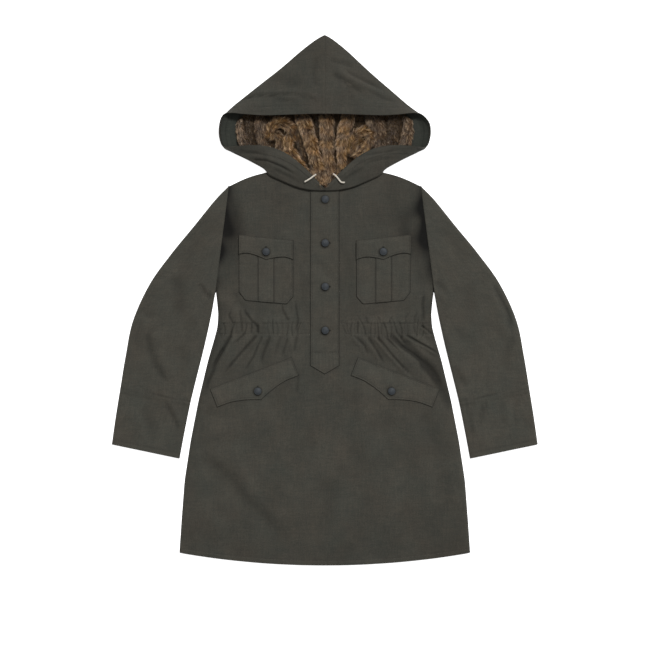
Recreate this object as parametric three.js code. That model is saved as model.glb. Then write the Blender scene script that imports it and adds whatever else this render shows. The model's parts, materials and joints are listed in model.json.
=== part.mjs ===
// A pull-over anorak smock of tight cotton cloth, laid flat on its back with the sleeves at its sides.
// The body lies in the XY plane, +Y towards the hood's point and +Z up from the table. Sizes are millimetres.
// It has a front and a back, two sleeves, a two-piece hood with a fur lining and facings, a button placket,
// two pleated chest pockets with flaps, two slanted lower flaps, eight buttons and two drawcord ends.
import * as THREE from "three";

const CLOTH = 2.2; // wall of the outer cloth
const LAID_CLOTH = 1.8; // wall of the pockets, flaps and placket
const FACING_CLOTH = 1.2;
const GAP = 0.35; // between pieces where they are sewn or lie on each other
const OLIVE = 0x46443d;
const OLIVE_DARK = 0x3a3b34;
const FUR_BROWN = 0x6e583f;
const BUTTON_GREY = 0x4a4e52;
const CORD_CREAM = 0xe6dfce;

// Body, front view: half widths at each height, from the hem corner to the shoulder point.
const BODY_SECTIONS = [
  { y: -578, half: 334.5 },
  { y: -504, half: 329.5 },
  { y: -412, half: 322.5 },
  { y: -320, half: 308.5 },
  { y: -228, half: 290.5 },
  { y: -136, half: 268.5 },
  { y: -90, half: 255 },
  { y: -60, half: 247 },
  { y: -30, half: 245 },
  { y: 2, half: 248 },
  { y: 23, half: 250.5 },
  { y: 99, half: 239.5 },
  { y: 182, half: 228.5 },
  { y: 264.5, half: 218.5 },
];
const HEM_Y = -578;
const HEM_SAG = 29;
const SAG_FROM = -160; // rows below this one bow down towards the hem
const UNDERARM_Y = 23;
const SHOULDER_Y = 264.5;
const SHOULDER_FROM = 90; // rows above this one rise with the shoulders and the neck
const SHOULDER_ARCH = 4; // how far the shoulder line bows up
const NECK_HALF = 131;
const NECK_POINT_Y = 296.5;
const FRONT_NECK_Y = 268;
const BACK_NECK_Y = 282;
const FRONT_TOP = 7.6; // outer face of the front above the table
const SEAM_TOP = 4.9; // outer face of the front where it is sewn to the back or a sleeve
const SIDE_ROLL = 13; // how far in the side edge rounds over
const ARMHOLE_DIP = 42;
const WAIST_TOP = -52; // the two rows of stitching of the waist tunnel
const WAIST_BOTTOM = -76;

// Gathers at the waist tunnel: where each ridge crosses it and its half width, how far it runs up and down,
// its outward drift below the tunnel and its height.
const GATHERS = [
  { x: -238, half: 7, up: 20, down: 40, drift: 12, rise: 2.2 },
  { x: -227, half: 6, up: 26, down: 70, drift: 34, rise: 2.6 },
  { x: -203, half: 9, up: 34, down: 88, drift: 50, rise: 3.2 },
  { x: -172, half: 11, up: 30, down: 92, drift: 56, rise: 3.4 },
  { x: -149, half: 4, up: 18, down: 60, drift: 40, rise: 2.0 },
  { x: -135, half: 8, up: 26, down: 84, drift: 42, rise: 3.0 },
  { x: -106, half: 13, up: 22, down: 74, drift: 24, rise: 2.6 },
  { x: -76, half: 8, up: 36, down: 62, drift: 14, rise: 2.6 },
  { x: -55, half: 7, up: 34, down: 44, drift: 6, rise: 1.8 },
  { x: 52, half: 7, up: 14, down: 26, drift: 6, rise: 1.4 },
  { x: 64, half: 5, up: 14, down: 44, drift: 24, rise: 1.6 },
  { x: 82, half: 9, up: 20, down: 60, drift: 40, rise: 2.6 },
  { x: 108, half: 9, up: 18, down: 74, drift: 52, rise: 2.8 },
  { x: 125, half: 5, up: 22, down: 70, drift: 52, rise: 2.0 },
  { x: 141, half: 9, up: 26, down: 92, drift: 84, rise: 3.4 },
  { x: 159, half: 5, up: 20, down: 60, drift: 54, rise: 2.0 },
  { x: 177, half: 9, up: 30, down: 86, drift: 96, rise: 3.2 },
  { x: 198, half: 8, up: 32, down: 56, drift: 72, rise: 2.8 },
  { x: 214, half: 6, up: 40, down: 36, drift: 34, rise: 2.2 },
  { x: 234, half: 7, up: 34, down: 26, drift: 16, rise: 2.6 },
];
const PLACKET_CLEAR = 40; // no gather comes nearer to the centre than this

// How many columns a row of the front has: most of them where the gathers are.
const FRONT_COLUMNS = [
  { from: -90, to: -30, count: 96 },
  { from: -118, to: -10, count: 72 },
  { from: -160, to: 0, count: 44 },
  { from: -Infinity, to: Infinity, count: 18 },
];

// Broad soft troughs of the front, as a line with a half width and a depth.
const FRONT_TROUGHS = [
  { x0: -266, y0: -380, x1: -104, y1: -570, half: 26, depth: 1.3 },
  { x0: 60, y0: -250, x1: 72, y1: -400, half: 20, depth: 1.0 },
  { x0: -30, y0: -330, x1: -60, y1: -470, half: 30, depth: 0.9 },
  { x0: 214, y0: -300, x1: 262, y1: -470, half: 24, depth: 1.1 },
];

// Left sleeve sections, from armhole to wrist: ends of each section and the sleeve's height there.
const SLEEVE_SECTIONS = [
  { outerX: -220.0, outerY: 265.0, innerX: -251.4, innerY: 20.0, height: 5.6 },
  { outerX: -225.5, outerY: 260.0, innerX: -252.2, innerY: 15.0, height: 7.6 },
  { outerX: -253.0, outerY: 231.5, innerX: -254.5, innerY: 2.0, height: 8.2 },
  { outerX: -301.5, outerY: 171.5, innerX: -259.5, innerY: -26.0, height: 8.2 },
  { outerX: -351.5, outerY: 110.5, innerX: -267.0, innerY: -62.0, height: 8.2 },
  { outerX: -402.0, outerY: 40.0, innerX: -277.5, innerY: -108.0, height: 8.2 },
  { outerX: -440.5, outerY: -44.0, innerX: -290.0, innerY: -158.0, height: 8.2 },
  { outerX: -457.5, outerY: -125.0, innerX: -302.0, innerY: -206.0, height: 8.2 },
  { outerX: -470.0, outerY: -201.0, innerX: -309.5, innerY: -238.0, height: 8.2 },
  { outerX: -480.5, outerY: -266.0, innerX: -322.0, innerY: -300.0, height: 7.8 },
  { outerX: -489.5, outerY: -329.0, innerX: -333.5, innerY: -361.6, height: 6.6 },
];
const SLEEVE_STATIONS = 17;
const WRIST_BAND = { at: 0.79, half: 0.018, rise: 0.9, puckers: 13 };
// Soft folds on each sleeve, s along it (0 armhole, 1 wrist) and c across its upper face (0 outer, 1 inner).
const SLEEVE_TROUGHS = [
  { s0: 0.1, c0: 0.75, s1: 0.42, c1: 0.3, half: 0.1, depth: 1.0 },
  { s0: 0.5, c0: 0.35, s1: 0.78, c1: 0.62, half: 0.09, depth: 1.3 },
  { s0: 0.82, c0: 0.62, s1: 0.95, c1: 0.9, half: 0.07, depth: 1.0 },
  { s0: 0.3, c0: 0.12, s1: 0.62, c1: 0.16, half: 0.08, depth: 0.8 },
];

// Hood, one half with x from the centre seam. Each row is a line across the cloth, as points [x, y, z]: the
// face edge (e), the outline where the cloth turns under (o), where it lies down (f) and its seam end (n).
const HOOD_STATIONS = [
  { e: [0.2, 427, 35], o: [0.2, 610, 6], f: [0.2, 607, 1.1], n: [0.2, 602, 1.1] },
  { e: [18, 427, 35], o: [19, 599.5, 6.5], f: [17, 597, 1.1], n: [0.2, 592, 1.1] },
  { e: [44, 426.5, 35], o: [53, 573, 7], f: [50, 570, 1.1], n: [0.2, 562, 1.1] },
  { e: [86, 425, 34], o: [100, 531, 7.5], f: [96, 528, 1.1], n: [0.2, 520, 1.1] },
  { e: [134, 424, 32], o: [155, 485.5, 8], f: [150, 482, 1.1], n: [0.2, 474, 1.1] },
  { e: [176, 426.5, 29], o: [191, 455.5, 9], f: [185, 452, 1.1], n: [0.2, 440, 1.1] },
  { e: [207, 429.5, 25], o: [213, 437, 12], f: [205, 434, 1.1], n: [0.2, 416, 1.1] },
  { e: [225, 427, 21], o: [226, 425.5, 12], f: [213, 421, 1.1], n: [0.2, 398, 1.1] },
  { e: [237.5, 412, 19], o: [234.5, 411, 10], f: [217, 407, 1.1], n: [0.2, 382, 1.1] },
  { e: [241.5, 392, 18], o: [238, 392, 9], f: [219, 391, 1.1], n: [0.2, 364, 1.1] },
  { e: [239.5, 371, 18], o: [236, 371.5, 9], f: [218, 373, 1.1], n: [0.2, 344, 1.1] },
  { e: [231, 354, 19], o: [231, 352.5, 9], f: [214, 355, 1.1], n: [0.2, 324, 1.1] },
  { e: [211, 354.5, 21], o: [214, 343.5, 7], f: [206, 346, 1.1], n: [0.2, 304, 1.1] },
  { e: [182, 356.5, 23], o: [184, 329, 6.5], f: [179, 333, 1.1], n: [0.2, 283.6, 1.1] },
  { e: [154, 356.5, 24], o: [157, 315, 6.5], f: [153, 319, 1.1], n: [80, 288.3, 1.1] },
  { e: [140, 355, 24.5], o: [139, 304.5, 8], f: [137, 307, 2.6], n: [131.5, 297.8, 2.6] },
  { e: [128, 352.5, 25], o: [126, 291.5, 12], f: [127, 292.5, 7.4], n: [126.5, 295.4, 6.5] },
  { e: [108, 346.5, 25], o: [100, 279, 12.5], f: [101, 279.5, 7.5], n: [101, 283.6, 6.5] },
  { e: [80, 332, 24], o: [66, 264, 13.5], f: [67, 267, 8], n: [67, 273.8, 6.5] },
  { e: [52, 309.5, 22], o: [36, 257, 14], f: [36.5, 259.5, 9.6], n: [36.5, 269.3, 6.5] },
  { e: [28, 286.5, 19.5], o: [15, 255.4, 14], f: [15, 258, 9.8], n: [15, 267.9, 6.5] },
  { e: [1.2, 259.5, 16.5], o: [0.2, 255.2, 13.6], f: [0.2, 257, 9.9], n: [0.2, 267.6, 6.5] },
];
const HOOD_ROWS = 32;
const HOOD_SPANS = { top: 5, turn: 3, under: 3 }; // steps along each row
const HOOD_CROWN = 3.5; // how far the upper layer arches
const SEAM_CLEAR = 0.2; // from the centre seam to each half
const HOOD_SKEW = 0.042; // the point leans, so the left half lies wider than the right one
const HOOD_BAND = { width: 20, rise: 0.7 }; // the drawcord tunnel along the face edge
const LOWER_LIP_FROM = 11; // the first row of the lower lip
const UPPER_LIP_Y = 427;
const FACING_REACH = 46;
const FACING_ROWS = { from: 8, to: 18 }; // rows of the hood that it lines

// Fur lining: ridges that fan out, each from a place at the throat to a place under the upper lip.
const FUR_RIDGES = [
  { footX: -178, footY: 352, topX: -192, topY: 440, half: 16, rise: 7 },
  { footX: -146, footY: 356, topX: -154, topY: 440, half: 20, rise: 9 },
  { footX: -92, footY: 338, topX: -118, topY: 404, half: 20, rise: 12 },
  { footX: -58, footY: 312, topX: -88, topY: 372, half: 13, rise: 10 },
  { footX: -26, footY: 288, topX: -50, topY: 446, half: 16, rise: 12 },
  { footX: 6, footY: 276, topX: 4, topY: 446, half: 16, rise: 12 },
  { footX: 32, footY: 292, topX: 52, topY: 446, half: 15, rise: 12 },
  { footX: 56, footY: 314, topX: 88, topY: 392, half: 19, rise: 12 },
  { footX: 112, footY: 350, topX: 122, topY: 440, half: 19, rise: 10 },
  { footX: 160, footY: 354, topX: 176, topY: 440, half: 19, rise: 9 },
];
const FUR = {
  half: 201,
  columns: 50,
  rows: 9,
  valley: 7, // height between the ridges
  deep: 485, // how far it goes up under the upper layer
  underLip: 13, // how far it goes under the lower lip
  throatHalf: 20,
  throatY: 263,
  roof: 3.2, // how far it stays under the upper layer
};

const PLACKET = { half: 33.8, top: 257.5, shoulder: -148, point: -168, stepY: 21 };
const CHEST_POCKET = {
  outerX: 197.5,
  innerX: 72,
  topOuterY: 153,
  topInnerY: 140,
  bottomOuterY: 2.5,
  bottomInnerY: -8.5,
  chamferX: 15,
  chamferY: 19,
  pleatOuterX: 152.5,
  pleatInnerX: 117.5,
  pleatRise: 1.1,
};
const CHEST_FLAP = { depthEnd: 46, depthDip: 41.5, depthPoint: 52, pointShare: 0.65 };
const LOWER_FLAP = {
  outerX: 263.8,
  outerY: -201.7,
  innerX: 75.7,
  innerY: -128.3,
  depthEnd: 45.5,
  depthPoint: 66,
  pointShare: 0.75,
};
const FLAP_STEP = { flat: 2.5, ramp: 6.5, bagFrom: 7.5 }; // how a flap climbs over its pocket below its seam
const BUTTON = { radius: 8.6, height: 4.2, rim: 1.6, dish: 1.1, sides: 14 };
const PLACKET_BUTTON_Y = [234, 133.5, 33.5, -67];
const CHEST_BUTTON = { x: 134.5, y: 113.5 };
const LOWER_BUTTON_DEPTH = 44.5;
const CORD = { radius: 1.9, sides: 8, lift: 0.5 };
// Drawcord ends: points of each route as seen from above, from inside the tunnel's mouth to the free end.
const CORD_ROUTES = {
  left: [
    { x: -19.5, y: 290 },
    { x: -25.5, y: 286 },
    { x: -31.5, y: 281.5 },
    { x: -38.5, y: 277 },
    { x: -46.5, y: 272.5 },
  ],
  right: [
    { x: 18.5, y: 291 },
    { x: 23.5, y: 288 },
    { x: 29.5, y: 281.5 },
    { x: 34.5, y: 275 },
    { x: 39.5, y: 271.5 },
    { x: 46.0, y: 271.8 },
  ],
};

const clamp = (v, low, high) => Math.min(high, Math.max(low, v));
const lerp = (a, b, t) => a + (b - a) * t;
const smooth = (t) => {
  const c = clamp(t, 0, 1);
  return c * c * (3 - 2 * c);
};

// A smooth value between a table's rows at a fractional row number; read takes it from a row.
function atRow(table, read, row) {
  const last = table.length - 1;
  const i = Math.min(last - 1, Math.max(0, Math.floor(row)));
  const t = row - i;
  const value = (k) => read(table[clamp(k, 0, last)]);
  const [a, b, c, d] = [value(i - 1), value(i), value(i + 1), value(i + 2)];
  return 0.5 * (2 * b + (c - a) * t + (2 * a - 5 * b + 4 * c - d) * t * t + (3 * b - a - 3 * c + d) * t ** 3);
}

// A table's column read at a value of another column, in straight steps.
function readAt(table, by, key, value) {
  const i = clamp(table.findIndex((row) => row[by] > value), 1, table.length - 1);
  const above = value >= table[table.length - 1][by] ? table.length - 1 : i;
  const [a, b] = [table[above - 1], table[above]];
  return lerp(a[key], b[key], clamp((value - a[by]) / (b[by] - a[by]), 0, 1));
}

// Distance of a point from a segment, and how far along the segment its foot lies.
function offSegment(x, y, x0, y0, x1, y1) {
  const [dx, dy] = [x1 - x0, y1 - y0];
  const along = clamp(((x - x0) * dx + (y - y0) * dy) / (dx * dx + dy * dy), 0, 1);
  return { far: Math.hypot(x - x0 - along * dx, y - y0 - along * dy), along };
}

// Collects points and triangles of one closed body.
class Body {
  constructor() {
    this.points = [];
    this.faces = [];
  }

  // Takes in a row of { u, p }, each point with its place along the row, and returns it with their numbers.
  row(list) {
    return list.map(({ u, p }) => ({ u, i: this.points.push(p) - 1 }));
  }

  // Triangles between two rows that run the same way; their counts may differ.
  strip(a, b) {
    let [i, j] = [0, 0];
    while (i < a.length - 1 || j < b.length - 1) {
      const onA = j === b.length - 1 || (i < a.length - 1 && a[i + 1].u <= b[j + 1].u + 1e-9);
      const face = onA ? [a[i].i, a[i + 1].i, b[j].i] : [a[i].i, b[j + 1].i, b[j].i];
      if (new Set(face).size === 3) this.faces.push(face);
      if (onA) i++;
      else j++;
    }
  }

  // A wall between an outer and an inner skin, each a list of rows in order.
  wall(outer, inner, around) {
    const close = (row) => (around ? [...row, { u: 1, i: row[0].i }] : row);
    const out = outer.map((points) => close(this.row(points)));
    const into = inner.map((points) => close(this.row(points)));
    for (let k = 1; k < out.length; k++) this.strip(out[k - 1], out[k]);
    for (let k = 1; k < into.length; k++) this.strip(into[k], into[k - 1]);
    this.strip(into[0], out[0]);
    this.strip(out[out.length - 1], into[into.length - 1]);
    if (!around) {
      const side = (rows, end) => rows.map((row, k) => ({ u: k / (rows.length - 1), i: end(row).i }));
      const first = (row) => row[0];
      const last = (row) => row[row.length - 1];
      this.strip(side(out, first), side(into, first));
      this.strip(side(into, last), side(out, last));
    }
    return this;
  }

  volume() {
    const [a, b, c] = [new THREE.Vector3(), new THREE.Vector3(), new THREE.Vector3()];
    return this.faces.reduce((sum, [i, j, k]) => {
      a.fromArray(this.points[i]);
      b.fromArray(this.points[j]);
      c.fromArray(this.points[k]);
      return sum + a.dot(b.cross(c)) / 6;
    }, 0);
  }

  mesh(name, colour, roughness) {
    const faces = this.volume() < 0 ? this.faces.map(([i, j, k]) => [i, k, j]) : this.faces;
    const geometry = new THREE.BufferGeometry();
    geometry.setAttribute("position", new THREE.Float32BufferAttribute(this.points.flat(), 3));
    geometry.setIndex(faces.flat());
    geometry.computeVertexNormals();
    return named(geometry, name, colour, roughness);
  }

  // Height of the highest face over a place, or null off the body.
  topAt(x, y) {
    let best = null;
    for (const [i, j, k] of this.faces) {
      const [a, b, c] = [this.points[i], this.points[j], this.points[k]];
      if (x < Math.min(a[0], b[0], c[0]) || x > Math.max(a[0], b[0], c[0])) continue;
      if (y < Math.min(a[1], b[1], c[1]) || y > Math.max(a[1], b[1], c[1])) continue;
      const area = (b[0] - a[0]) * (c[1] - a[1]) - (b[1] - a[1]) * (c[0] - a[0]);
      if (Math.abs(area) < 1e-9) continue;
      const s = ((x - a[0]) * (c[1] - a[1]) - (y - a[1]) * (c[0] - a[0])) / area;
      const t = ((b[0] - a[0]) * (y - a[1]) - (b[1] - a[1]) * (x - a[0])) / area;
      if (s < -1e-9 || t < -1e-9 || s + t > 1 + 1e-9) continue;
      const z = a[2] + s * (b[2] - a[2]) + t * (c[2] - a[2]);
      if (best === null || z > best) best = z;
    }
    return best;
  }

  // The highest face within a small reach of a place.
  topNear(x, y, reach) {
    const heights = [this.topAt(x, y)];
    for (let k = 0; k < 8; k++) {
      const angle = (k * Math.PI) / 4;
      heights.push(this.topAt(x + reach * Math.cos(angle), y + reach * Math.sin(angle)));
    }
    return Math.max(...heights.filter((z) => z !== null));
  }
}

function named(geometry, name, colour, roughness) {
  const material = new THREE.MeshStandardMaterial({ color: colour, roughness, metalness: 0 });
  const mesh = new THREE.Mesh(geometry, material);
  mesh.name = name;
  return mesh;
}

const halfWidth = (y) => readAt(BODY_SECTIONS, "y", "half", y);

// The top edge of a body panel: shoulder lines outside, a neckline between.
function topEdge(x, neckY) {
  const far = Math.abs(x);
  if (far > NECK_HALF) {
    const share = (far - NECK_HALF) / (halfWidth(SHOULDER_Y) - NECK_HALF);
    return lerp(NECK_POINT_Y, SHOULDER_Y, share) + SHOULDER_ARCH * Math.sin(Math.PI * clamp(share, 0, 1));
  }
  return neckY + (NECK_POINT_Y - neckY) * (far / NECK_HALF) ** 2.2;
}

// Where a panel's point lies, from its share across and the nominal height of its row.
function panelPlace(across, rowY, neckY, inset) {
  const half = halfWidth(rowY) - inset;
  const x = across * half;
  const share = Math.abs(across);
  const hem = -HEM_SAG * (1 - share * share) * smooth((SAG_FROM - rowY) / (SAG_FROM - HEM_Y));
  const rise = topEdge(across * (halfWidth(SHOULDER_Y) - inset), neckY) - SHOULDER_Y;
  return [x, rowY + hem + rise * smooth((rowY - SHOULDER_FROM) / (SHOULDER_Y - SHOULDER_FROM))];
}

function gatherHeight(x, y) {
  const nearPlacket = smooth((Math.abs(x) - PLACKET_CLEAR) / 12);
  const flapLine = LOWER_FLAP.innerY + 8 - (Math.abs(x) - LOWER_FLAP.innerX) * 0.39;
  const overFlap = Math.abs(x) < LOWER_FLAP.innerX ? 1 : smooth((y - flapLine) / 22);
  let height = 0;
  const below = y < WAIST_BOTTOM;
  for (const g of GATHERS) {
    const away = Math.max(0, (y - WAIST_TOP) / g.up, (WAIST_BOTTOM - y) / g.down);
    if (away >= 1) continue;
    const lean = below ? Math.sign(g.x) * g.drift * away : 0;
    const width = g.half * (1 + (below ? 0.7 : 0.4) * away);
    const off = (x - g.x - lean) / width;
    const strength = (1 - away) ** 1.1 * (0.62 + 0.75 * Math.min(1, away * 6));
    height += g.rise * strength * Math.exp(-off * off);
  }
  return height * nearPlacket * overFlap;
}

function troughDepth(x, y) {
  return FRONT_TROUGHS.reduce((sum, t) => {
    const { far, along } = offSegment(x, y, t.x0, t.y0, t.x1, t.y1);
    return sum + t.depth * Math.exp(-((far / t.half) ** 2)) * (0.5 + 0.5 * Math.sin(Math.PI * along));
  }, 0);
}

// The front: one wall whose sides round over to the table, and whose armholes and shoulders are sewn down.
function makeFront() {
  const rowYs = [HEM_Y, -545, -500, -445, -390, -335, -285, -240, -205, -177, -153, -132, -114, -99, -88];
  rowYs.push(-80, -75, -69, -59, -51, -43, -33, -20, -6, 9, 23, 42, 60, 99, 150, 200, 240, SHOULDER_Y);
  const columnsAt = (y) => FRONT_COLUMNS.find((band) => y > band.from && y < band.to).count;
  const outer = [];
  const inner = [];
  for (const rowY of rowYs) {
    const half = halfWidth(rowY);
    const sewn = smooth((rowY - UNDERARM_Y) / 34);
    const roll = lerp(SIDE_ROLL, ARMHOLE_DIP, sewn);
    const rollShares = [0, 0.04, 0.15, 0.4, 0.7].map((share) => (share * roll) / half);
    const count = columnsAt(rowY);
    const flat = 1 - roll / half;
    const middle = Array.from({ length: count + 1 }, (_, k) => lerp(-flat, flat, k / count));
    const shares = [...rollShares.map((r) => r - 1), ...middle, ...rollShares.map((r) => 1 - r).reverse()];
    const height = (across, x, y) => {
      const inFromSide = (1 - Math.abs(across)) * half;
      const t = clamp(inFromSide / roll, 0, 1);
      const rounded = Math.sqrt(1 - (1 - t) ** 2);
      const side = lerp(rounded, smooth(t), sewn);
      const fromTop = smooth((topEdge(x, FRONT_NECK_Y) - y) / 38);
      const fromHem = smooth((y - HEM_Y + HEM_SAG) / 60);
      const full = lerp(SEAM_TOP, FRONT_TOP - 1.6 * (1 - fromHem) - troughDepth(x, y), fromTop);
      const edge = sewn * SEAM_TOP;
      return edge + (full - edge) * side;
    };
    outer.push(
      shares.map((across) => {
        const [x, y] = panelPlace(across, rowY, FRONT_NECK_Y, 0);
        const inside = smooth(((1 - Math.abs(across)) * half) / SIDE_ROLL);
        return { u: (across + 1) / 2, p: [x, y, height(across, x, y) + gatherHeight(x, y) * inside] };
      }),
    );
    // The inner skin goes straight up beside the back's edge and then lies over it.
    const wallIn = CLOTH * (1 - sewn);
    const overBack = CLOTH + GAP;
    const step = 0.4 / half;
    const coarse = [-1, step - 1, -0.95, -0.85, -0.6, -0.3, 0, 0.3, 0.6, 0.85, 0.95, 1 - step, 1];
    inner.push(
      coarse.map((across) => {
        const [x, y] = panelPlace(across, rowY, FRONT_NECK_Y, wallIn);
        const inFromSide = (1 - Math.abs(across)) * half + wallIn;
        const under = Math.max(overBack, height(1 - inFromSide / half, x, y) - CLOTH);
        return { u: (across + 1) / 2, p: [x, y, Math.abs(across) === 1 ? sewn * overBack : under] };
      }),
    );
  }
  return new Body().wall(outer, inner);
}

// The back: a flat wall on the table, inside the front's rounded sides.
function makeBack() {
  const rowYs = [-578, -504, -412, -320, -228, -136, -90, -60, -30, 2, 23, 60, 99, 182, 225, SHOULDER_Y];
  const shares = [-1, -0.8, -0.6, -0.3, 0, 0.3, 0.6, 0.8, 1];
  const skin = (z) =>
    rowYs.map((rowY) => {
      const inset = (CLOTH + GAP) * (1 - smooth((rowY - UNDERARM_Y - 15) / 40));
      return shares.map((across) => {
        const [x, y] = panelPlace(across, rowY, BACK_NECK_Y, inset + 1);
        return { u: (across + 1) / 2, p: [x, y, z] };
      });
    });
  return new Body().wall(skin(CLOTH), skin(0));
}

// A sleeve: a flattened tube, flat below, with its soft folds and wrist gathers on the upper face. The table
// holds the left one, and a mirror of -1 makes the right one.
function makeSleeve(mirror) {
  const across = [0, 0.012, 0.04, 0.09, 0.18, 0.28, 0.38, 0.48, 0.58, 0.68, 0.78, 0.88, 0.95, 0.985, 1];
  const below = [0.985, 0.93, 0.5, 0.07, 0.015];
  const outer = [];
  const inner = [];
  const last = SLEEVE_SECTIONS.length - 1;
  const stations = Array.from({ length: SLEEVE_STATIONS + 1 }, (_, k) => (k / SLEEVE_STATIONS) ** 1.15);
  stations.push(WRIST_BAND.at - 2 * WRIST_BAND.half, WRIST_BAND.at, WRIST_BAND.at + 2 * WRIST_BAND.half);
  stations.sort((a, b) => a - b);
  for (const s of stations) {
    const at = (key) => atRow(SLEEVE_SECTIONS, (section) => section[key], s * last);
    const start = new THREE.Vector2(at("outerX"), at("outerY"));
    const end = new THREE.Vector2(at("innerX"), at("innerY"));
    const width = start.distanceTo(end);
    const height = clamp(at("height"), 5.6, 8.3);
    const round = height * 1.3;
    const band = Math.exp(-(((s - WRIST_BAND.at) / WRIST_BAND.half) ** 2));
    const relief = (c) => {
      const folds = SLEEVE_TROUGHS.reduce((sum, t) => {
        const { far, along } = offSegment(s, c, t.s0, t.c0, t.s1, t.c1);
        const swell = Math.sin(Math.PI * clamp(along, 0.12, 0.88));
        return sum + t.depth * Math.exp(-((far / t.half) ** 2)) * swell;
      }, 0);
      const pucker = 0.5 + 0.5 * Math.cos(2 * Math.PI * WRIST_BAND.puckers * c);
      return (band * WRIST_BAND.rise * pucker - folds) * smooth((width * Math.min(c, 1 - c)) / 18);
    };
    // Upper face, then the lower one; grow moves the skin in by a wall.
    const section = (grow) => {
      const high = height / 2 - grow;
      const upper = across.map((c) => {
        const inFrom = clamp((width * Math.min(c, 1 - c)) / round, 0, 1);
        const z = high * Math.sqrt(1 - (1 - inFrom) ** 2);
        return { c, z: z + (grow ? 0 : relief(c) * (inFrom >= 1 ? 1 : 0)) };
      });
      const lower = below.map((c) => {
        const inFrom = clamp((width * Math.min(c, 1 - c)) / 7, 0, 1);
        return { c, z: -high * Math.sqrt(1 - (1 - inFrom) ** 2) };
      });
      return [...upper, ...lower].map(({ c, z }, k, all) => {
        const shrunk = grow / width + c * (1 - (2 * grow) / width);
        const place = start.clone().lerp(end, shrunk);
        return { u: k / all.length, p: [mirror * place.x, place.y, z + height / 2] };
      });
    };
    outer.push(section(0));
    inner.push(section(CLOTH));
  }
  return new Body().wall(outer, inner, true);
}

// The middle of the hood's cloth: rows run round the face edge, columns from the edge to the seam end.
function hoodSurface(rows) {
  const last = HOOD_STATIONS.length - 1;
  const point = (v, letter) => {
    const read = (axis) => atRow(HOOD_STATIONS, (station) => station[letter][axis], v * last);
    return new THREE.Vector3(Math.max(SEAM_CLEAR, read(0)), read(1), read(2));
  };
  return rows.map((v) => {
    const [edge, fold, floor, seam] = ["e", "o", "f", "n"].map((letter) => point(v, letter));
    const line = [];
    const long = edge.distanceTo(fold);
    for (let k = 0; k <= HOOD_SPANS.top; k++) {
      const t = (k / HOOD_SPANS.top) ** 1.15;
      const p = edge.clone().lerp(fold, t);
      p.z += HOOD_CROWN * Math.sin(Math.PI * t ** 0.8) * smooth(long / 80);
      line.push(p);
    }
    // The turn leaves the top layer's way and comes to lie on the table.
    const out = fold.clone().sub(edge).setZ(0);
    const push = Math.min(long, 20) * 0.2;
    const corner = fold.clone().lerp(floor, 0.45).add(out.clampLength(0, 1).multiplyScalar(push));
    corner.z = lerp(floor.z, fold.z, 0.25);
    const turn = new THREE.QuadraticBezierCurve3(fold, corner, floor);
    for (let k = 1; k <= HOOD_SPANS.turn; k++) line.push(turn.getPoint(k / HOOD_SPANS.turn));
    for (let k = 1; k <= HOOD_SPANS.under; k++) line.push(floor.clone().lerp(seam, k / HOOD_SPANS.under));
    for (const p of line) p.x = Math.max(SEAM_CLEAR, p.x);
    return line;
  });
}

// Unit normals of a grid of points, pointing away from the hood's inside.
function gridNormals(grid) {
  const at = (i, j) => grid[clamp(i, 0, grid.length - 1)][clamp(j, 0, grid[0].length - 1)];
  return grid.map((row, i) =>
    row.map((_, j) => {
      const along = at(i + 1, j).clone().sub(at(i - 1, j));
      const across = at(i, j + 1).clone().sub(at(i, j - 1));
      return along.cross(across).normalize();
    }),
  );
}

function hoodX(side, x, y) {
  const skew = HOOD_SKEW * smooth((y - 400) / 55) * (1 - 0.3 * smooth((y - 500) / 60));
  return side * Math.max(SEAM_CLEAR, x) * (1 - side * skew);
}

const hoodMiddle = hoodSurface(Array.from({ length: HOOD_ROWS + 1 }, (_, k) => k / HOOD_ROWS));
const hoodNormals = gridNormals(hoodMiddle);

function makeHoodHalf(side) {
  const skin = (offset, relief) =>
    hoodMiddle.map((line, i) => {
      let run = 0;
      return line.map((p, j) => {
        if (j) run += p.distanceTo(line[j - 1]);
        const band = relief && j <= HOOD_SPANS.top && run < HOOD_BAND.width ? HOOD_BAND.rise : 0;
        const q = p.clone().addScaledVector(hoodNormals[i][j], offset + band);
        return { u: j / (line.length - 1), p: [hoodX(side, q.x, q.y), q.y, Math.max(0, q.z)] };
      });
    });
  return new Body().wall(skin(CLOTH / 2, true), skin(-CLOTH / 2, false));
}

// How high the fur may reach under the hood's upper layer; in the open mouth it is free.
function furRoof(x, y) {
  if (y < UPPER_LIP_Y) return Infinity;
  const outlineY = 608 - Math.abs(x) * 0.8;
  const t = clamp((y - UPPER_LIP_Y) / (outlineY - UPPER_LIP_Y), 0, 1);
  return lerp(35 - Math.abs(x) * 0.03, 7, t) - FUR.roof;
}

// The lower lip of the hood, as seen from above.
function lipY(x) {
  const rows = HOOD_STATIONS.slice(LOWER_LIP_FROM).map(({ e }) => ({ x: e[0], y: e[1] }));
  return readAt(rows.reverse(), "x", "y", Math.abs(x));
}

function furHeight(x, y) {
  const ridges = FUR_RIDGES.map((r) => {
    const { far, along } = offSegment(x, y, r.footX, r.footY, r.topX, r.topY);
    const half = r.half * lerp(0.75, 1, along);
    return r.rise * Math.sqrt(Math.max(0, 1 - (far / half) ** 2));
  });
  const atThroat = smooth((330 - y) / 50);
  const rise = Math.max(...ridges, 0);
  return Math.min(lerp(FUR.valley + rise, 15.5 + 0.25 * rise, atThroat), furRoof(x, y));
}

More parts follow.
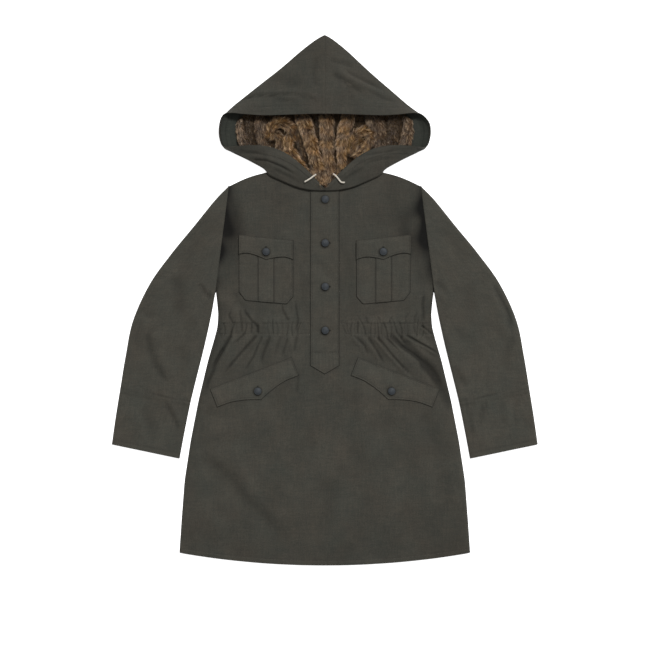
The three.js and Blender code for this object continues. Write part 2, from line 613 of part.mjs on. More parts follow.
function makeFur() {
  const upper = [];
  const lower = [];
  const place = (u, t) => {
    const x = lerp(-FUR.half, FUR.half, u);
    const far = Math.abs(x);
    const tucked = FUR.underLip * smooth((far - 20) / 30) * smooth((185 - far) / 40);
    const atThroat = lerp(FUR.throatY, lipY(FUR.throatHalf) - 4, far / FUR.throatHalf);
    const alongLip = lipY(x) - tucked - 4 + 10 * smooth((far - 150) / 40);
    const low = far < FUR.throatHalf ? atThroat : alongLip;
    const high = Math.min(FUR.deep, 596 - far * 0.9);
    return [x, lerp(low, high, t)];
  };
  for (let r = 0; r <= FUR.rows; r++) {
    const t = r / FUR.rows;
    const border = (k) => Math.min(1, Math.min(t, 1 - t) * 6, Math.min(k, FUR.columns - k) / 3);
    upper.push(
      Array.from({ length: FUR.columns + 1 }, (_, k) => {
        const [x, y] = place(k / FUR.columns, t);
        const bottom = furBottom(x, y);
        const top = Math.max(bottom + 2, furHeight(x, y));
        return { u: k / FUR.columns, p: [x, y, lerp(bottom + 2, top, Math.sqrt(border(k)))] };
      }),
    );
    lower.push(
      Array.from({ length: 17 }, (_, k) => {
        const [x, y] = place(k / 16, t);
        return { u: k / 16, p: [x, y, furBottom(x, y)] };
      }),
    );
  }
  return new Body().wall(upper, lower);
}

// The fur lies on the hood's back, and climbs over the front neckline at the throat.
function furBottom(x, y) {
  const neck = topEdge(clamp(x, -NECK_HALF, NECK_HALF), FRONT_NECK_Y);
  const onHood = CLOTH + GAP + (FACING_CLOTH + GAP + 0.4) * smooth((Math.abs(x) - 165) / 20) + 0.1;
  return lerp(12.2, onHood, smooth((y - neck - 8) / 22));
}

// The facing sewn inside the hood's edge, where it shows at the side of the face.
function makeFacing(side) {
  const middle = hoodMiddle.slice(FACING_ROWS.from, FACING_ROWS.to + 1);
  const normals = hoodNormals.slice(FACING_ROWS.from, FACING_ROWS.to + 1);
  const skin = (offset) =>
    middle.map((line, i) => {
      const run = [0];
      for (let j = 1; j < line.length; j++) run.push(run[j - 1] + line[j].distanceTo(line[j - 1]));
      return [4, 8, 13, 18, 24, 34, FACING_REACH].map((reach, k) => {
        const j = clamp(run.findIndex((value) => value > reach), 1, line.length - 1);
        const t = (reach - run[j - 1]) / (run[j] - run[j - 1]);
        const p = line[j - 1].clone().lerp(line[j], t);
        const n = normals[i][j - 1].clone().lerp(normals[i][j], t).normalize();
        p.addScaledVector(n, offset);
        return { u: k / 6, p: [hoodX(side, p.x, p.y), p.y, p.z] };
      });
    });
  const inside = -CLOTH / 2 - GAP - 0.3;
  return new Body().wall(skin(inside), skin(inside - FACING_CLOTH));
}

// A flat piece laid on a body: rows of places, its wall, and a height added on top of it.
function laidPiece(under, rows, wall, addTop, addUnder) {
  const base = rows.map((row) => row.map(({ x, y }) => under.topNear(x, y, 2.5) + GAP));
  const skin = (lift, extra) =>
    rows.map((row, i) =>
      row.map((place, j) => {
        const z = base[i][j] + lift + (extra ? extra(place, i, j) : 0) + (addUnder ? addUnder(place) : 0);
        return { u: j / (row.length - 1), p: [place.x, place.y, z] };
      }),
    );
  return new Body().wall(skin(wall, addTop), skin(0, null));
}

function makePlacket(front) {
  const rows = [];
  const shares = [-1, -0.93, -0.8, -0.4, 0, 0.4, 0.8, 0.93, 1];
  const straight = PLACKET.top - PLACKET.shoulder;
  const count = Math.round(straight / PLACKET.stepY);
  const pointY = (s) => lerp(PLACKET.point, PLACKET.shoulder, Math.abs(s));
  rows.push(shares.map((s) => ({ x: s * PLACKET.half, y: pointY(s) })));
  for (let k = 1; k <= count; k++) {
    const y = lerp(PLACKET.shoulder + 3, PLACKET.top, (k - 1) / (count - 1));
    rows.push(shares.map((s) => ({ x: s * PLACKET.half, y })));
  }
  const ease = ({ x }) => (Math.abs(x) > PLACKET.half * 0.98 ? -0.5 : 0);
  return laidPiece(front, rows, LAID_CLOTH, ease, null);
}

function chestTop(far) {
  const { outerX, innerX, topOuterY, topInnerY } = CHEST_POCKET;
  return lerp(topOuterY, topInnerY, (outerX - far) / (outerX - innerX));
}

function makeChestPocket(front, side) {
  const P = CHEST_POCKET;
  const columns = [P.outerX, P.outerX - 4, P.outerX - P.chamferX, 168, P.pleatOuterX + 2.2, P.pleatOuterX];
  columns.push(P.pleatOuterX - 2.2, 135, P.pleatInnerX + 2.2, P.pleatInnerX, P.pleatInnerX - 2.2, 102);
  columns.push(P.innerX + P.chamferX, P.innerX + 4, P.innerX);
  const bottom = (far) => {
    const share = (P.outerX - far) / (P.outerX - P.innerX);
    const fromSide = Math.min(P.outerX - far, far - P.innerX);
    const cut = P.chamferY * clamp(1 - fromSide / P.chamferX, 0, 1);
    return lerp(P.bottomOuterY, P.bottomInnerY, share) + cut;
  };
  const rowShares = [0, 0.04, 0.35, 0.7, 1];
  const rows = rowShares.map((t) =>
    columns.map((far) => ({ x: side * far, y: lerp(bottom(far), chestTop(far) - FLAP_STEP.bagFrom, t) })),
  );
  const pleat = ({ x }, i, j) => {
    const far = Math.abs(x);
    const inPleat = far < P.pleatOuterX - 1 && far > P.pleatInnerX + 1;
    const groove = Math.abs(far - P.pleatOuterX) < 1 || Math.abs(far - P.pleatInnerX) < 1;
    const rim = i === 0 || j === 0 || j === columns.length - 1 ? -0.5 : 0;
    return (inPleat ? P.pleatRise : groove ? -0.5 : 0) + rim;
  };
  return laidPiece(front, rows, LAID_CLOTH, pleat, null);
}

// How deep a scalloped flap is at a share of its half length from the middle.
function flapDepth(flap, share) {
  const dip = flap.depthDip ?? flap.depthEnd;
  const peak = (flap.depthPoint - dip) * Math.max(0, 1 - share / flap.pointShare) ** 1.55;
  const end = (flap.depthEnd - dip) * clamp((share - flap.pointShare) / (1 - flap.pointShare), 0, 1) ** 2;
  return dip + peak + end;
}

const DEPTH_SHARES = [1, 0.96, 0.6, 0.15, 0.06, 0];
const FLAP_SHARES = [-1, -0.95, -0.75, -0.5, -0.3, -0.14, 0, 0.14, 0.3, 0.5, 0.75, 0.95, 1];
const RIM_DROP = -0.5; // the outermost points of a laid piece lie lower, as its edge rounds over
const flapRim = (_, i, j) => (i === 0 || j === 0 || j === FLAP_SHARES.length - 1 ? RIM_DROP : 0);

function makeChestFlap(front, side) {
  const { outerX, innerX, pleatRise } = CHEST_POCKET;
  const past = 0.5; // the flap is this much wider than the pocket on each side
  const rows = DEPTH_SHARES.map((t) =>
    FLAP_SHARES.map((s) => {
      const far = lerp(outerX + past, innerX - past, (s + 1) / 2);
      const down = t * flapDepth(CHEST_FLAP, Math.abs(s));
      return { x: side * far, y: chestTop(far) - down, down };
    }),
  );
  const bag = LAID_CLOTH + GAP + pleatRise;
  const climb = ({ down }) => bag * smooth((down - FLAP_STEP.flat) / (FLAP_STEP.ramp - FLAP_STEP.flat));
  return laidPiece(front, rows, LAID_CLOTH, flapRim, climb);
}

function makeLowerFlap(front, side) {
  const F = LOWER_FLAP;
  const [dx, dy] = [F.innerX - F.outerX, F.innerY - F.outerY];
  const long = Math.hypot(dx, dy);
  const down = { x: dy / long, y: dx / long }; // across the flap, away from its upper edge
  const rows = DEPTH_SHARES.map((t) =>
    FLAP_SHARES.map((s) => {
      const depth = t * flapDepth(F, Math.abs(s));
      const far = F.outerX + (dx * (s + 1)) / 2 - down.x * depth;
      return { x: side * far, y: F.outerY + (dy * (s + 1)) / 2 + down.y * depth };
    }),
  );
  return laidPiece(front, rows, LAID_CLOTH, flapRim, null);
}

function makeButton(name, x, y, under) {
  const { radius, height, rim, dish } = BUTTON;
  const profile = [
    [0, 0],
    [radius * 0.8, 0],
    [radius, height * 0.45],
    [radius * 0.84, height],
    [radius - rim * 2, height],
    [radius * 0.42, height - dish],
    [0, height - dish],
  ].map(([r, z]) => new THREE.Vector2(r, z));
  const geometry = new THREE.LatheGeometry(profile, BUTTON.sides);
  geometry.rotateX(Math.PI / 2);
  const mesh = named(geometry, name, BUTTON_GREY, 0.5);
  const levels = under.map((body) => body.topNear(x, y, radius * 0.8)).filter(Number.isFinite);
  mesh.position.set(x, y, Math.max(...levels) + GAP);
  return mesh;
}

function makeCord(name, route, hood, fur) {
  const levels = route.map(({ x, y }) => Math.max(hood.topNear(x, y, 4), fur.topNear(x, y, 2)));
  const points = route.map(({ x, y }, k) => {
    const level = Math.max(levels[k], k < 2 ? levels[2] : 0);
    return new THREE.Vector3(x, y, level + CORD.radius + CORD.lift);
  });
  const path = new THREE.CatmullRomCurve3(points);
  const ring = Array.from({ length: CORD.sides }, (_, k) => {
    const angle = (2 * Math.PI * k) / CORD.sides;
    return new THREE.Vector2(CORD.radius * Math.cos(angle), CORD.radius * Math.sin(angle));
  });
  const geometry = new THREE.ExtrudeGeometry(new THREE.Shape(ring), { steps: 9, extrudePath: path });
  return named(geometry, name, CORD_CREAM, 0.8);
}

const smock = new THREE.Group();
smock.name = "anorak_smock";
const front = makeFront();
const back = makeBack();
smock.add(front.mesh("front", OLIVE, 0.9), back.mesh("back", OLIVE, 0.9));
for (const [word, mirror] of [["left", 1], ["right", -1]]) {
  smock.add(makeSleeve(mirror).mesh("sleeve_" + word, OLIVE, 0.9));
}
const hoods = { left: makeHoodHalf(-1), right: makeHoodHalf(1) };
const fur = makeFur();
smock.add(hoods.left.mesh("hood_left", OLIVE, 0.9), hoods.right.mesh("hood_right", OLIVE, 0.9));
smock.add(makeFacing(-1).mesh("hood_facing_left", OLIVE_DARK, 0.9));
smock.add(makeFacing(1).mesh("hood_facing_right", OLIVE_DARK, 0.9));
smock.add(fur.mesh("hood_fur", FUR_BROWN, 1));
const placket = makePlacket(front);
smock.add(placket.mesh("placket", OLIVE, 0.9));
PLACKET_BUTTON_Y.forEach((y, k) => smock.add(makeButton("placket_button_" + (k + 1), 1, y, [placket])));
for (const [word, side] of [["left", -1], ["right", 1]]) {
  const pocket = makeChestPocket(front, side);
  const chestFlap = makeChestFlap(front, side);
  const lowerFlap = makeLowerFlap(front, side);
  smock.add(pocket.mesh("chest_pocket_" + word, OLIVE, 0.9));
  smock.add(chestFlap.mesh("chest_flap_" + word, OLIVE, 0.9));
  smock.add(lowerFlap.mesh("lower_flap_" + word, OLIVE, 0.9));
  smock.add(makeButton("chest_button_" + word, side * CHEST_BUTTON.x, CHEST_BUTTON.y, [chestFlap]));
  const F = LOWER_FLAP;
  const long = Math.hypot(F.innerX - F.outerX, F.innerY - F.outerY);
  const buttonX = (F.outerX + F.innerX) / 2 - ((F.innerY - F.outerY) / long) * LOWER_BUTTON_DEPTH;
  const buttonY = (F.outerY + F.innerY) / 2 + ((F.innerX - F.outerX) / long) * LOWER_BUTTON_DEPTH;
  smock.add(makeButton("lower_button_" + word, side * buttonX, buttonY, [lowerFlap]));
  smock.add(makeCord("drawcord_" + word, CORD_ROUTES[word], hoods[word], fur));
}

export default smock;
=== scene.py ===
# Anorak smock laid flat on its back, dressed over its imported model.
# Lengths in the tables are millimetres in the garment's own frame: +X right, +Y to the hood's point,
# +Z up.
import json
import math
import bpy
import numpy as np
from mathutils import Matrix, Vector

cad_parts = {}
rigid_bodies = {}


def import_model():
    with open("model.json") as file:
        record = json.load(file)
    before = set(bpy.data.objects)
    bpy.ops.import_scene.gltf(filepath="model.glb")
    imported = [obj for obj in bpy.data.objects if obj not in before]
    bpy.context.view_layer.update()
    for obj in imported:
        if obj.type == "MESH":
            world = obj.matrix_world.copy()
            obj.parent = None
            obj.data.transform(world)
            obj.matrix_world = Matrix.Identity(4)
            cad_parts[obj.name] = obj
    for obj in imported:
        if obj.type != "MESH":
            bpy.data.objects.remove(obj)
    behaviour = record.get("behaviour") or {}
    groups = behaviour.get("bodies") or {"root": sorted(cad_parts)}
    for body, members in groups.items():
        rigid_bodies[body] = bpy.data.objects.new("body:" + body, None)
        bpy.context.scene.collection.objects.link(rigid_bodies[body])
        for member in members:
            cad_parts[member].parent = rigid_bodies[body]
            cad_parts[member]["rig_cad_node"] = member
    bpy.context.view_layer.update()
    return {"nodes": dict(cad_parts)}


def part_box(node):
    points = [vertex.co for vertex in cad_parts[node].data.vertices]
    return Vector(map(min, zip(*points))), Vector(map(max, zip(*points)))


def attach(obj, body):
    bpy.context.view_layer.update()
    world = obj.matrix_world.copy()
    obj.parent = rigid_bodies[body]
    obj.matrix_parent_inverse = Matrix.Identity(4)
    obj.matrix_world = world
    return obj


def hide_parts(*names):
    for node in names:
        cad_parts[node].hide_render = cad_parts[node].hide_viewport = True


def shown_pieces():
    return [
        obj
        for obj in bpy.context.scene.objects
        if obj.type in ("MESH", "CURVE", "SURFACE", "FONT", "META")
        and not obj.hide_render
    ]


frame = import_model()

mm = 0.001


def addObject(name, data):
    made = bpy.data.objects.new(name, data)
    bpy.context.scene.collection.objects.link(made)
    return made


# camera straight above the garment, at the photograph's scale
view = {"x": 0.5, "y": -54.6, "height": 4000, "frameWidth": 1495, "sensor": 36}
cameraData = bpy.data.cameras.new("camera")
cameraData.sensor_width = view["sensor"]
cameraData.lens = view["sensor"] * view["height"] / view["frameWidth"]
camera = addObject("camera", cameraData)
camera.location = (view["x"] * mm, view["y"] * mm, view["height"] * mm)
bpy.context.scene.camera = camera


def smooth(t):
    t = np.clip(t, 0, 1)
    return t * t * (3 - 2 * t)


def lerp(a, b, t):
    return a + (b - a) * t


def bump(distance, width):
    return np.exp(-((distance / width) ** 2))


# soft uneven noise with waves of about the given size, always the same for a seed
def wander(x, y, size, seed):
    rng = np.random.default_rng(seed)
    total = np.zeros(np.shape(x))
    waves = 7
    for _ in range(waves):
        turn, phase, cross = rng.uniform(0, 2 * math.pi, 3)
        rate = 2 * math.pi / (size * rng.uniform(0.6, 1.7))
        along = x * math.cos(turn) + y * math.sin(turn)
        over = y * math.cos(turn) - x * math.sin(turn)
        total += np.sin(along * rate + phase + 0.9 * np.sin(over * rate * 0.6 + cross))
    return total / math.sqrt(waves)


def uneven(x, y, height, size, seed):
    return height * wander(x, y, size, seed)


# a bent line seen from each place: distance, positive on its left hand, the share of its length
# at the nearest place, and the line's direction there
def nearLine(x, y, line):
    spans = list(zip(line[:-1], line[1:]))
    whole = sum(math.dist(a, b) for a, b in spans)
    nearest = np.full(np.shape(x), 1e9)
    signed = np.zeros(np.shape(x))
    share = np.zeros(np.shape(x))
    heading = np.zeros((2,) + np.shape(x))
    gone = 0.0
    for a, b in spans:
        length = math.dist(a, b)
        dx, dy = (b[0] - a[0]) / length, (b[1] - a[1]) / length
        along = np.clip((x - a[0]) * dx + (y - a[1]) * dy, 0, length)
        far = np.hypot(x - a[0] - along * dx, y - a[1] - along * dy)
        side = np.where((y - a[1]) * dx - (x - a[0]) * dy < 0, -1.0, 1.0)
        closer = far < nearest
        nearest = np.where(closer, far, nearest)
        signed = np.where(closer, far * side, signed)
        share = np.where(closer, (gone + along) / whole, share)
        heading = np.where(closer, np.array([dx, dy]).reshape((2,) + (1,) * np.ndim(x)), heading)
        gone += length
    return signed, share, heading


def offLine(x, y, line):
    return nearLine(x, y, line)[:2]


# creases as (line, width, depth, lip): a soft trough, with a swell on its left (lip 1)
# or right (lip -1)
def creaseHeight(x, y, creases):
    height = np.zeros(np.shape(x))
    for line, width, depth, lip in creases:
        far, share = offLine(x, y, line)
        fade = smooth(share / 0.1) * smooth((1 - share) / 0.28)
        swell = 0.6 * bump(far * lip - 2.3 * width, 1.8 * width) if lip else 0
        height += depth * fade * (swell - bump(far, width))
    return height


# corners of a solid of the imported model, in millimetres
def nodeBox(node):
    return [np.array(corner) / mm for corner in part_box(node)]


# a mesh from points in millimetres, four-sided faces and a few faces of other sizes
def makeMesh(name, points, quads, extra=(), uv=None, tone=None):
    mesh = bpy.data.meshes.new(name)
    mesh.vertices.add(len(points))
    mesh.vertices.foreach_set("co", (np.asarray(points) * mm).astype(np.float32).ravel())
    corners = [np.asarray(quads).ravel()] + [np.asarray(face) for face in extra]
    sizes = [4] * len(quads) + [len(face) for face in extra]
    corners = np.concatenate(corners).astype(np.int32)
    mesh.loops.add(len(corners))
    mesh.loops.foreach_set("vertex_index", corners)
    mesh.polygons.add(len(sizes))
    mesh.polygons.foreach_set("loop_start", np.concatenate([[0], np.cumsum(sizes)[:-1]]).astype(np.int32))
    mesh.update(calc_edges=True)
    mesh.validate()
    mesh.shade_smooth()
    if uv is not None:
        layer = mesh.uv_layers.new(name="cut")
        layer.data.foreach_set("uv", (np.asarray(uv)[corners] * mm).astype(np.float32).ravel())
    # each point's painted shade and random mottling, which the materials multiply in
    if tone is not None:
        kept = mesh.attributes.new("tone", "FLOAT", "POINT")
        kept.data.foreach_set("value", np.asarray(tone).astype(np.float32))
    made = addObject(name, mesh)
    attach(made, "root")
    return made


def gridFaces(rows, columns, around, start=0):
    i = np.arange(rows - 1)[:, None]
    j = np.arange(columns if around else columns - 1)[None, :]
    a = start + i * columns + j
    b = start + i * columns + (j + 1) % columns
    return np.stack([a, b, b + columns, a + columns], -1).reshape(-1, 4)


def gridNormals(grid, around):
    padded = np.concatenate([grid[:, -1:], grid, grid[:, :1]], 1) if around else grid
    across = np.gradient(padded, axis=1)[:, 1:-1] if around else np.gradient(grid, axis=1)
    normals = np.cross(np.gradient(grid, axis=0), across)
    return normals / np.maximum(np.linalg.norm(normals, axis=2, keepdims=True), 1e-9)


# A wall of cloth: the outer skin's grid, an inner skin with fewer points, and rims between them.
# The grid's cross product, its rows by its columns, times facing, points out of the cloth.
def makeWall(name, grid, thick, facing, tone=None, uv=None, around=False, stride=3, floor=None):
    rows, columns = grid.shape[:2]
    outward = gridNormals(grid, around) * facing
    inner = (grid - outward * thick)[::stride, ::stride]
    if floor is not None:  # the inner skin stays under every dip of the outer one
        deep = grid[..., 2].copy()
        for shift in range(1, stride + 1):
            for axis in (0, 1):
                for step in (shift, -shift):
                    deep = np.minimum(deep, np.roll(grid[..., 2], step, axis))
        below = deep[::stride, ::stride] - 0.5 * thick
        inner[..., 2] = np.maximum(np.minimum(inner[..., 2], below), floor)
    inner[..., 2] = np.maximum(inner[..., 2], 0.05)
    innerRows, innerColumns = inner.shape[:2]
    start = rows * columns
    outerFaces = gridFaces(rows, columns, around)
    innerFaces = gridFaces(innerRows, innerColumns, around, start)[:, ::-1]
    at = lambda i, j: i * columns + j % columns
    under = lambda i, j: start + i * innerColumns + j % innerColumns
    rims = []
    for k in range(innerColumns if around else innerColumns - 1):
        run = range(k * stride, (k + 1) * stride + 1)
        rims.append([at(0, j) for j in reversed(run)] + [under(0, k), under(0, k + 1)])
        last = [at(rows - 1, j) for j in run]
        rims.append(last + [under(innerRows - 1, k + 1), under(innerRows - 1, k)])
    for k in range(0 if around else innerRows - 1):
        run = range(k * stride, (k + 1) * stride + 1)
        rims.append([at(i, 0) for i in run] + [under(k + 1, 0), under(k, 0)])
        right = [at(i, columns - 1) for i in reversed(run)]
        rims.append(right + [under(k, innerColumns - 1), under(k + 1, innerColumns - 1)])
    quads = np.concatenate([outerFaces, innerFaces])
    if facing > 0:  # the cross product of rows by columns runs against the faces' order
        quads = quads[:, ::-1]
        rims = [face[::-1] for face in rims]
    uv = grid[..., :2] if uv is None else uv
    tone = np.ones((rows, columns)) if tone is None else tone
    spread = lambda field, size: np.concatenate([
        field.reshape(-1, size), field[::stride, ::stride].reshape(-1, size)])
    points = np.concatenate([grid.reshape(-1, 3), inner.reshape(-1, 3)])
    return makeMesh(name, points, quads, rims, spread(uv, 2), spread(tone, 1).ravel())


# places along a length with fine steps at both ends; one less than their number divides by the stride
def edged(length, fine, count, stride=3):
    fine = np.asarray(fine)
    spare = -(2 * len(fine) + count - 1) % stride
    middle = np.linspace(fine[-1], length - fine[-1], count + spare + 2)[1:-1]
    return np.concatenate([fine, middle, length - fine[::-1]])


# the turned edge of a laid piece: it rounds down to the cloth below within its radius
def turnedEdge(inside, drop, radius):
    t = np.clip(inside / radius, 0, 1)
    return -drop * (1 - np.sqrt(1 - (1 - t) ** 2))


# drawcord ends, from the tunnel's mouth to the cut end
drawcord = {
    "diameter": 3.8,
    "sides": 20,
    "ringStep": 0.4,
    "braidTurns": 0.62,  # radians round for each millimetre along
    "braidRelief": 0.11,
    "strands": 3,
    "endRound": 0.9,
    "left": {"length": 32.4, "route": [
        (-19.5, 290, 24.68), (-25.5, 286, 24.68), (-31.5, 281.5, 24.68), (-38.5, 277, 23.95),
        (-46.5, 272.5, 22.37)]},
    "right": {"length": 35.8, "route": [
        (18.5, 291, 24.5), (23.5, 288, 24.5), (29.5, 281.5, 24.5), (34.5, 275, 23.58),
        (39.5, 271.5, 22.5), (46, 271.8, 22.22)]},
}


# the smooth way from b to c, with a before it and d after it
def blend(a, b, c, d, t):
    return 0.5 * (2 * b + (c - a) * t + (2 * a - 5 * b + 4 * c - d) * t**2
                  + (3 * b - a - 3 * c + d) * t**3)


# a smooth line through a route's points
def smoothRoute(route, step):
    p = np.array([route[0]] + list(route) + [route[-1]], float)
    places = []
    for k in range(1, len(p) - 2):
        a, b, c, d = p[k - 1:k + 3]
        count = max(2, round(np.linalg.norm(c - b) / step))
        t = np.arange(count)[:, None] / count
        places.append(blend(a, b, c, d, t))
    return np.concatenate(places + [p[-1:]])


def makeDrawcord(side):
    radius = drawcord["diameter"] / 2
    path = smoothRoute(drawcord[side]["route"], drawcord["ringStep"])
    tangent = np.gradient(path, axis=0)
    tangent /= np.linalg.norm(tangent, axis=1, keepdims=True)
    sideways = np.cross(tangent, (0, 0, 1.0))
    sideways /= np.linalg.norm(sideways, axis=1, keepdims=True)
    upward = np.cross(sideways, tangent)
    run = np.concatenate([[0], np.cumsum(np.linalg.norm(np.diff(path, axis=0), axis=1))])[:, None]
    angle = np.linspace(0, 2 * math.pi, drawcord["sides"], endpoint=False)[None, :]
    count = drawcord["strands"]
    twist = drawcord["braidTurns"] * run * count
    strands = np.maximum(np.cos(count * angle + twist), np.cos(count * angle - twist))
    closing = np.sqrt(np.clip(np.minimum(run, run[-1] - run) / drawcord["endRound"], 0.04, 1))
    reach = radius * closing * (1 - drawcord["braidRelief"] * (1 - strands))
    ring = path[:, None] + sideways[:, None] * (reach * np.cos(angle))[..., None]
    ring = ring + upward[:, None] * (reach * np.sin(angle))[..., None]
    rows, columns = ring.shape[:2]
    caps = [list(range(columns)), [(rows - 1) * columns + j for j in reversed(range(columns))]]
    uv = np.stack(np.broadcast_arrays(run, angle * radius), -1)
    quads = gridFaces(rows, columns, True)[:, ::-1]
    points = ring.reshape(-1, 3)
    cord = makeMesh("cord_" + side, points, quads, caps, uv.reshape(-1, 2), strands.ravel())
    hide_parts("drawcord_" + side)
    return cord


cords = [makeDrawcord("left"), makeDrawcord("right")]
print("smock: camera and drawcords made")

# body panels, front view: half widths at each height, hem to shoulder point
body = {
    "heights": [-578, -504, -412, -320, -228, -136, -90, -60, -30, 2, 23, 99, 182, 264.5],
    "halves": [334.5, 329.5, 322.5, 308.5, 290.5, 268.5, 255, 247, 245, 248, 250.5, 239.5, 228.5, 218.5],
    "hemY": -578, "hemSag": 29, "underarmY": 23, "shoulderY": 264.5, "shoulderArch": 4,
    "neckHalf": 131, "neckPointY": 296.5, "frontNeckY": 268, "backNeckY": 282,
    "top": 7.6, "seamTop": 4.9, "sideRoll": 13, "armholeDip": 42,
    "waistTop": -52, "waistBottom": -76, "placketClear": 40, "hemFold": 9, "thick": 1.2,
}


def halfWidth(y):
    read = lambda at: np.interp(at, body["heights"], body["halves"])
    return 0.25 * read(y - 8) + 0.5 * read(y) + 0.25 * read(y + 8)


def topEdge(x, neckY):
    far = np.abs(x)
    wide = body["halves"][-1]
    share = np.clip((far - body["neckHalf"]) / (wide - body["neckHalf"]), 0, 1)
    arch = body["shoulderArch"] * np.sin(math.pi * share)
    shoulder = lerp(body["neckPointY"], body["shoulderY"], share) + arch
    neck = neckY + (body["neckPointY"] - neckY) * np.minimum(far / body["neckHalf"], 1) ** 2.2
    return np.where(far > body["neckHalf"], shoulder, neck)


# where a panel's point lies, from its share across and the nominal height of its row
def panelPlace(across, rowY, neckY, inset):
    x = across * (halfWidth(rowY) - inset)
    hem = -body["hemSag"] * (1 - across**2) * smooth((-160 - rowY) / (-body["hemY"] - 160))
    atShoulder = topEdge(across * (body["halves"][-1] - inset), neckY) - body["shoulderY"]
    return x, rowY + hem + atShoulder * smooth((rowY - 90) / (body["shoulderY"] - 90))


# gathers of the waist tunnel: x, half width, run up, run down, outward drift, rise
gathers = [
    (-238, 7, 20, 40, 12, 2.2), (-227, 6, 26, 70, 34, 2.6), (-203, 9, 34, 88, 50, 3.2),
    (-172, 11, 30, 92, 56, 3.4), (-149, 4, 18, 60, 40, 2.0), (-135, 8, 26, 84, 42, 3.0),
    (-106, 13, 22, 74, 24, 2.6), (-76, 8, 36, 62, 14, 2.6), (-55, 7, 34, 44, 6, 1.8),
    (52, 7, 14, 26, 6, 1.4), (64, 5, 14, 44, 24, 1.6), (82, 9, 20, 60, 40, 2.6),
    (108, 9, 18, 74, 52, 2.8), (125, 5, 22, 70, 52, 2.0), (141, 9, 26, 92, 84, 3.4),
    (159, 5, 20, 60, 54, 2.0), (177, 9, 30, 86, 96, 3.2), (198, 8, 32, 56, 72, 2.8),
    (214, 6, 40, 36, 34, 2.2), (234, 7, 34, 26, 16, 2.6)
]


def gatherHeight(x, y):
    height = np.zeros(np.shape(x))
    above, below = y > body["waistTop"], y < body["waistBottom"]
    for at, half, up, down, drift, rise in gathers:
        awayDown = np.where(below, (body["waistBottom"] - y) / down, 0)
        away = np.where(above, (y - body["waistTop"]) / up, awayDown)
        lean = np.where(below, math.copysign(drift, at) * away, 0)
        width = half * (1 + np.where(below, 0.7, 0.4) * away)
        fade = np.clip(1 - away, 0, 1) ** 1.1 * (0.62 + 0.75 * np.minimum(1, away * 6))
        height += rise * fade * bump(x - at - lean, width)
    flapLine = lowerFlap["innerY"] + 8 - (np.abs(x) - lowerFlap["innerX"]) * 0.39
    overFlap = np.where(np.abs(x) < lowerFlap["innerX"], 1, smooth((y - flapLine) / 22))
    return height * smooth((np.abs(x) - body["placketClear"]) / 12) * overFlap


lowerFlap = {
    "outerX": 263.8, "outerY": -201.7, "innerX": 75.7, "innerY": -128.3,
    "depthEnd": 45.5, "depthPoint": 66, "pointShare": 0.75, "lift": 2.0,
}

# sharp creases of the front: line, width, depth, lip
frontCreases = [
    ([(-153, -76), (-153, -59), (-167, -46), (-182, -26), (-188, -12)], 2.6, 1.9, -1),
    ([(-190, -74), (-191, -50), (-195, -26), (-190, -10)], 2.4, 1.4, 1),
    ([(-214, -78), (-212, -50), (-220, -34), (-214, -14)], 2.2, 1.4, 1),
    ([(-216, -50), (-216, -80)], 1.8, 1.2, 1),
    ([(-83, -46), (-90, -34), (-97, -20), (-98, -2)], 2.6, 1.3, -1),
    ([(-66, -74), (-62, -42), (-66, -18), (-68, 6)], 2.2, 1.4, 1),
    ([(-236, -82), (-243, -72), (-240, -58)], 2.2, 1.5, 1),
    ([(-211, -74), (-219, -86), (-229, -104), (-242, -124), (-262, -160)], 3.2, 2.6, 1),
    ([(-228, -104), (-246, -140), (-268, -186), (-276, -220)], 5.0, 2.0, 1),
    ([(-184, -74), (-194, -84), (-207, -98)], 2.2, 1.4, 1),
    ([(-153, -74), (-164, -88), (-184, -110), (-212, -142), (-236, -172)], 3.2, 1.9, 1),
    ([(-142, -78), (-152, -98), (-164, -128), (-188, -166)], 2.6, 1.6, 1),
    ([(-125, -78), (-131, -96), (-139, -114), (-148, -148)], 3.2, 1.6, 1),
    ([(-100, -80), (-108, -100), (-116, -126)], 3.6, 1.0, -1),
    ([(-85, -84), (-92, -106), (-99, -128)], 2.6, 1.2, 1),
    ([(-65, -80), (-68, -98), (-72, -120)], 3.0, 1.3, -1),
    ([(-60, -165), (-63, -190), (-66, -215)], 5.0, 1.0, -1),
    ([(64, -77), (76, -88), (91, -102), (100, -128)], 3.0, 1.5, -1),
    ([(97, -80), (106, -94), (118, -112), (138, -148)], 3.0, 1.7, -1),
    ([(117, -79), (134, -100), (152, -122), (178, -150), (212, -182)], 2.6, 2.5, -1),
    ([(140, -72), (156, -88), (182, -106), (210, -128), (240, -156), (276, -206)], 9.5, 2.5, -1),
    ([(214, -138), (246, -170), (276, -214), (296, -262)], 15, 1.6, -1),
    ([(170, -100), (200, -120), (230, -144)], 3.0, 1.6, -1),
    ([(140, -84), (156, -100), (172, -116)], 2.2, 1.3, 1),
    ([(168, -74), (176, -86), (187, -101)], 2.0, 1.3, -1),
    ([(184, -76), (200, -86), (220, -97), (244, -110), (270, -126)], 2.2, 2.6, -1),
    ([(220, -55), (236, -67), (252, -80)], 2.0, 2.4, -1),
    ([(227, 14), (224, -10), (226, -28), (224, -50)], 4.0, 1.6, -1),
    ([(206, -52), (205, -38), (212, -24)], 1.8, 1.2, 1),
    ([(186, -52), (184, -40), (190, -30), (186, -24)], 1.6, 1.0, 1),
    ([(147, -52), (150, -42), (157, -32)], 1.6, 0.9, 1),
    ([(127, -52), (126, -42), (120, -33)], 1.6, 0.8, -1),
    ([(98, -52), (96, -41), (92, -33)], 1.6, 0.8, -1),
    ([(84, -52), (80, -42), (72, -30)], 1.8, 0.7, -1),
    ([(63, -52), (60, -44), (62, -36)], 1.6, 0.7, 1),
]

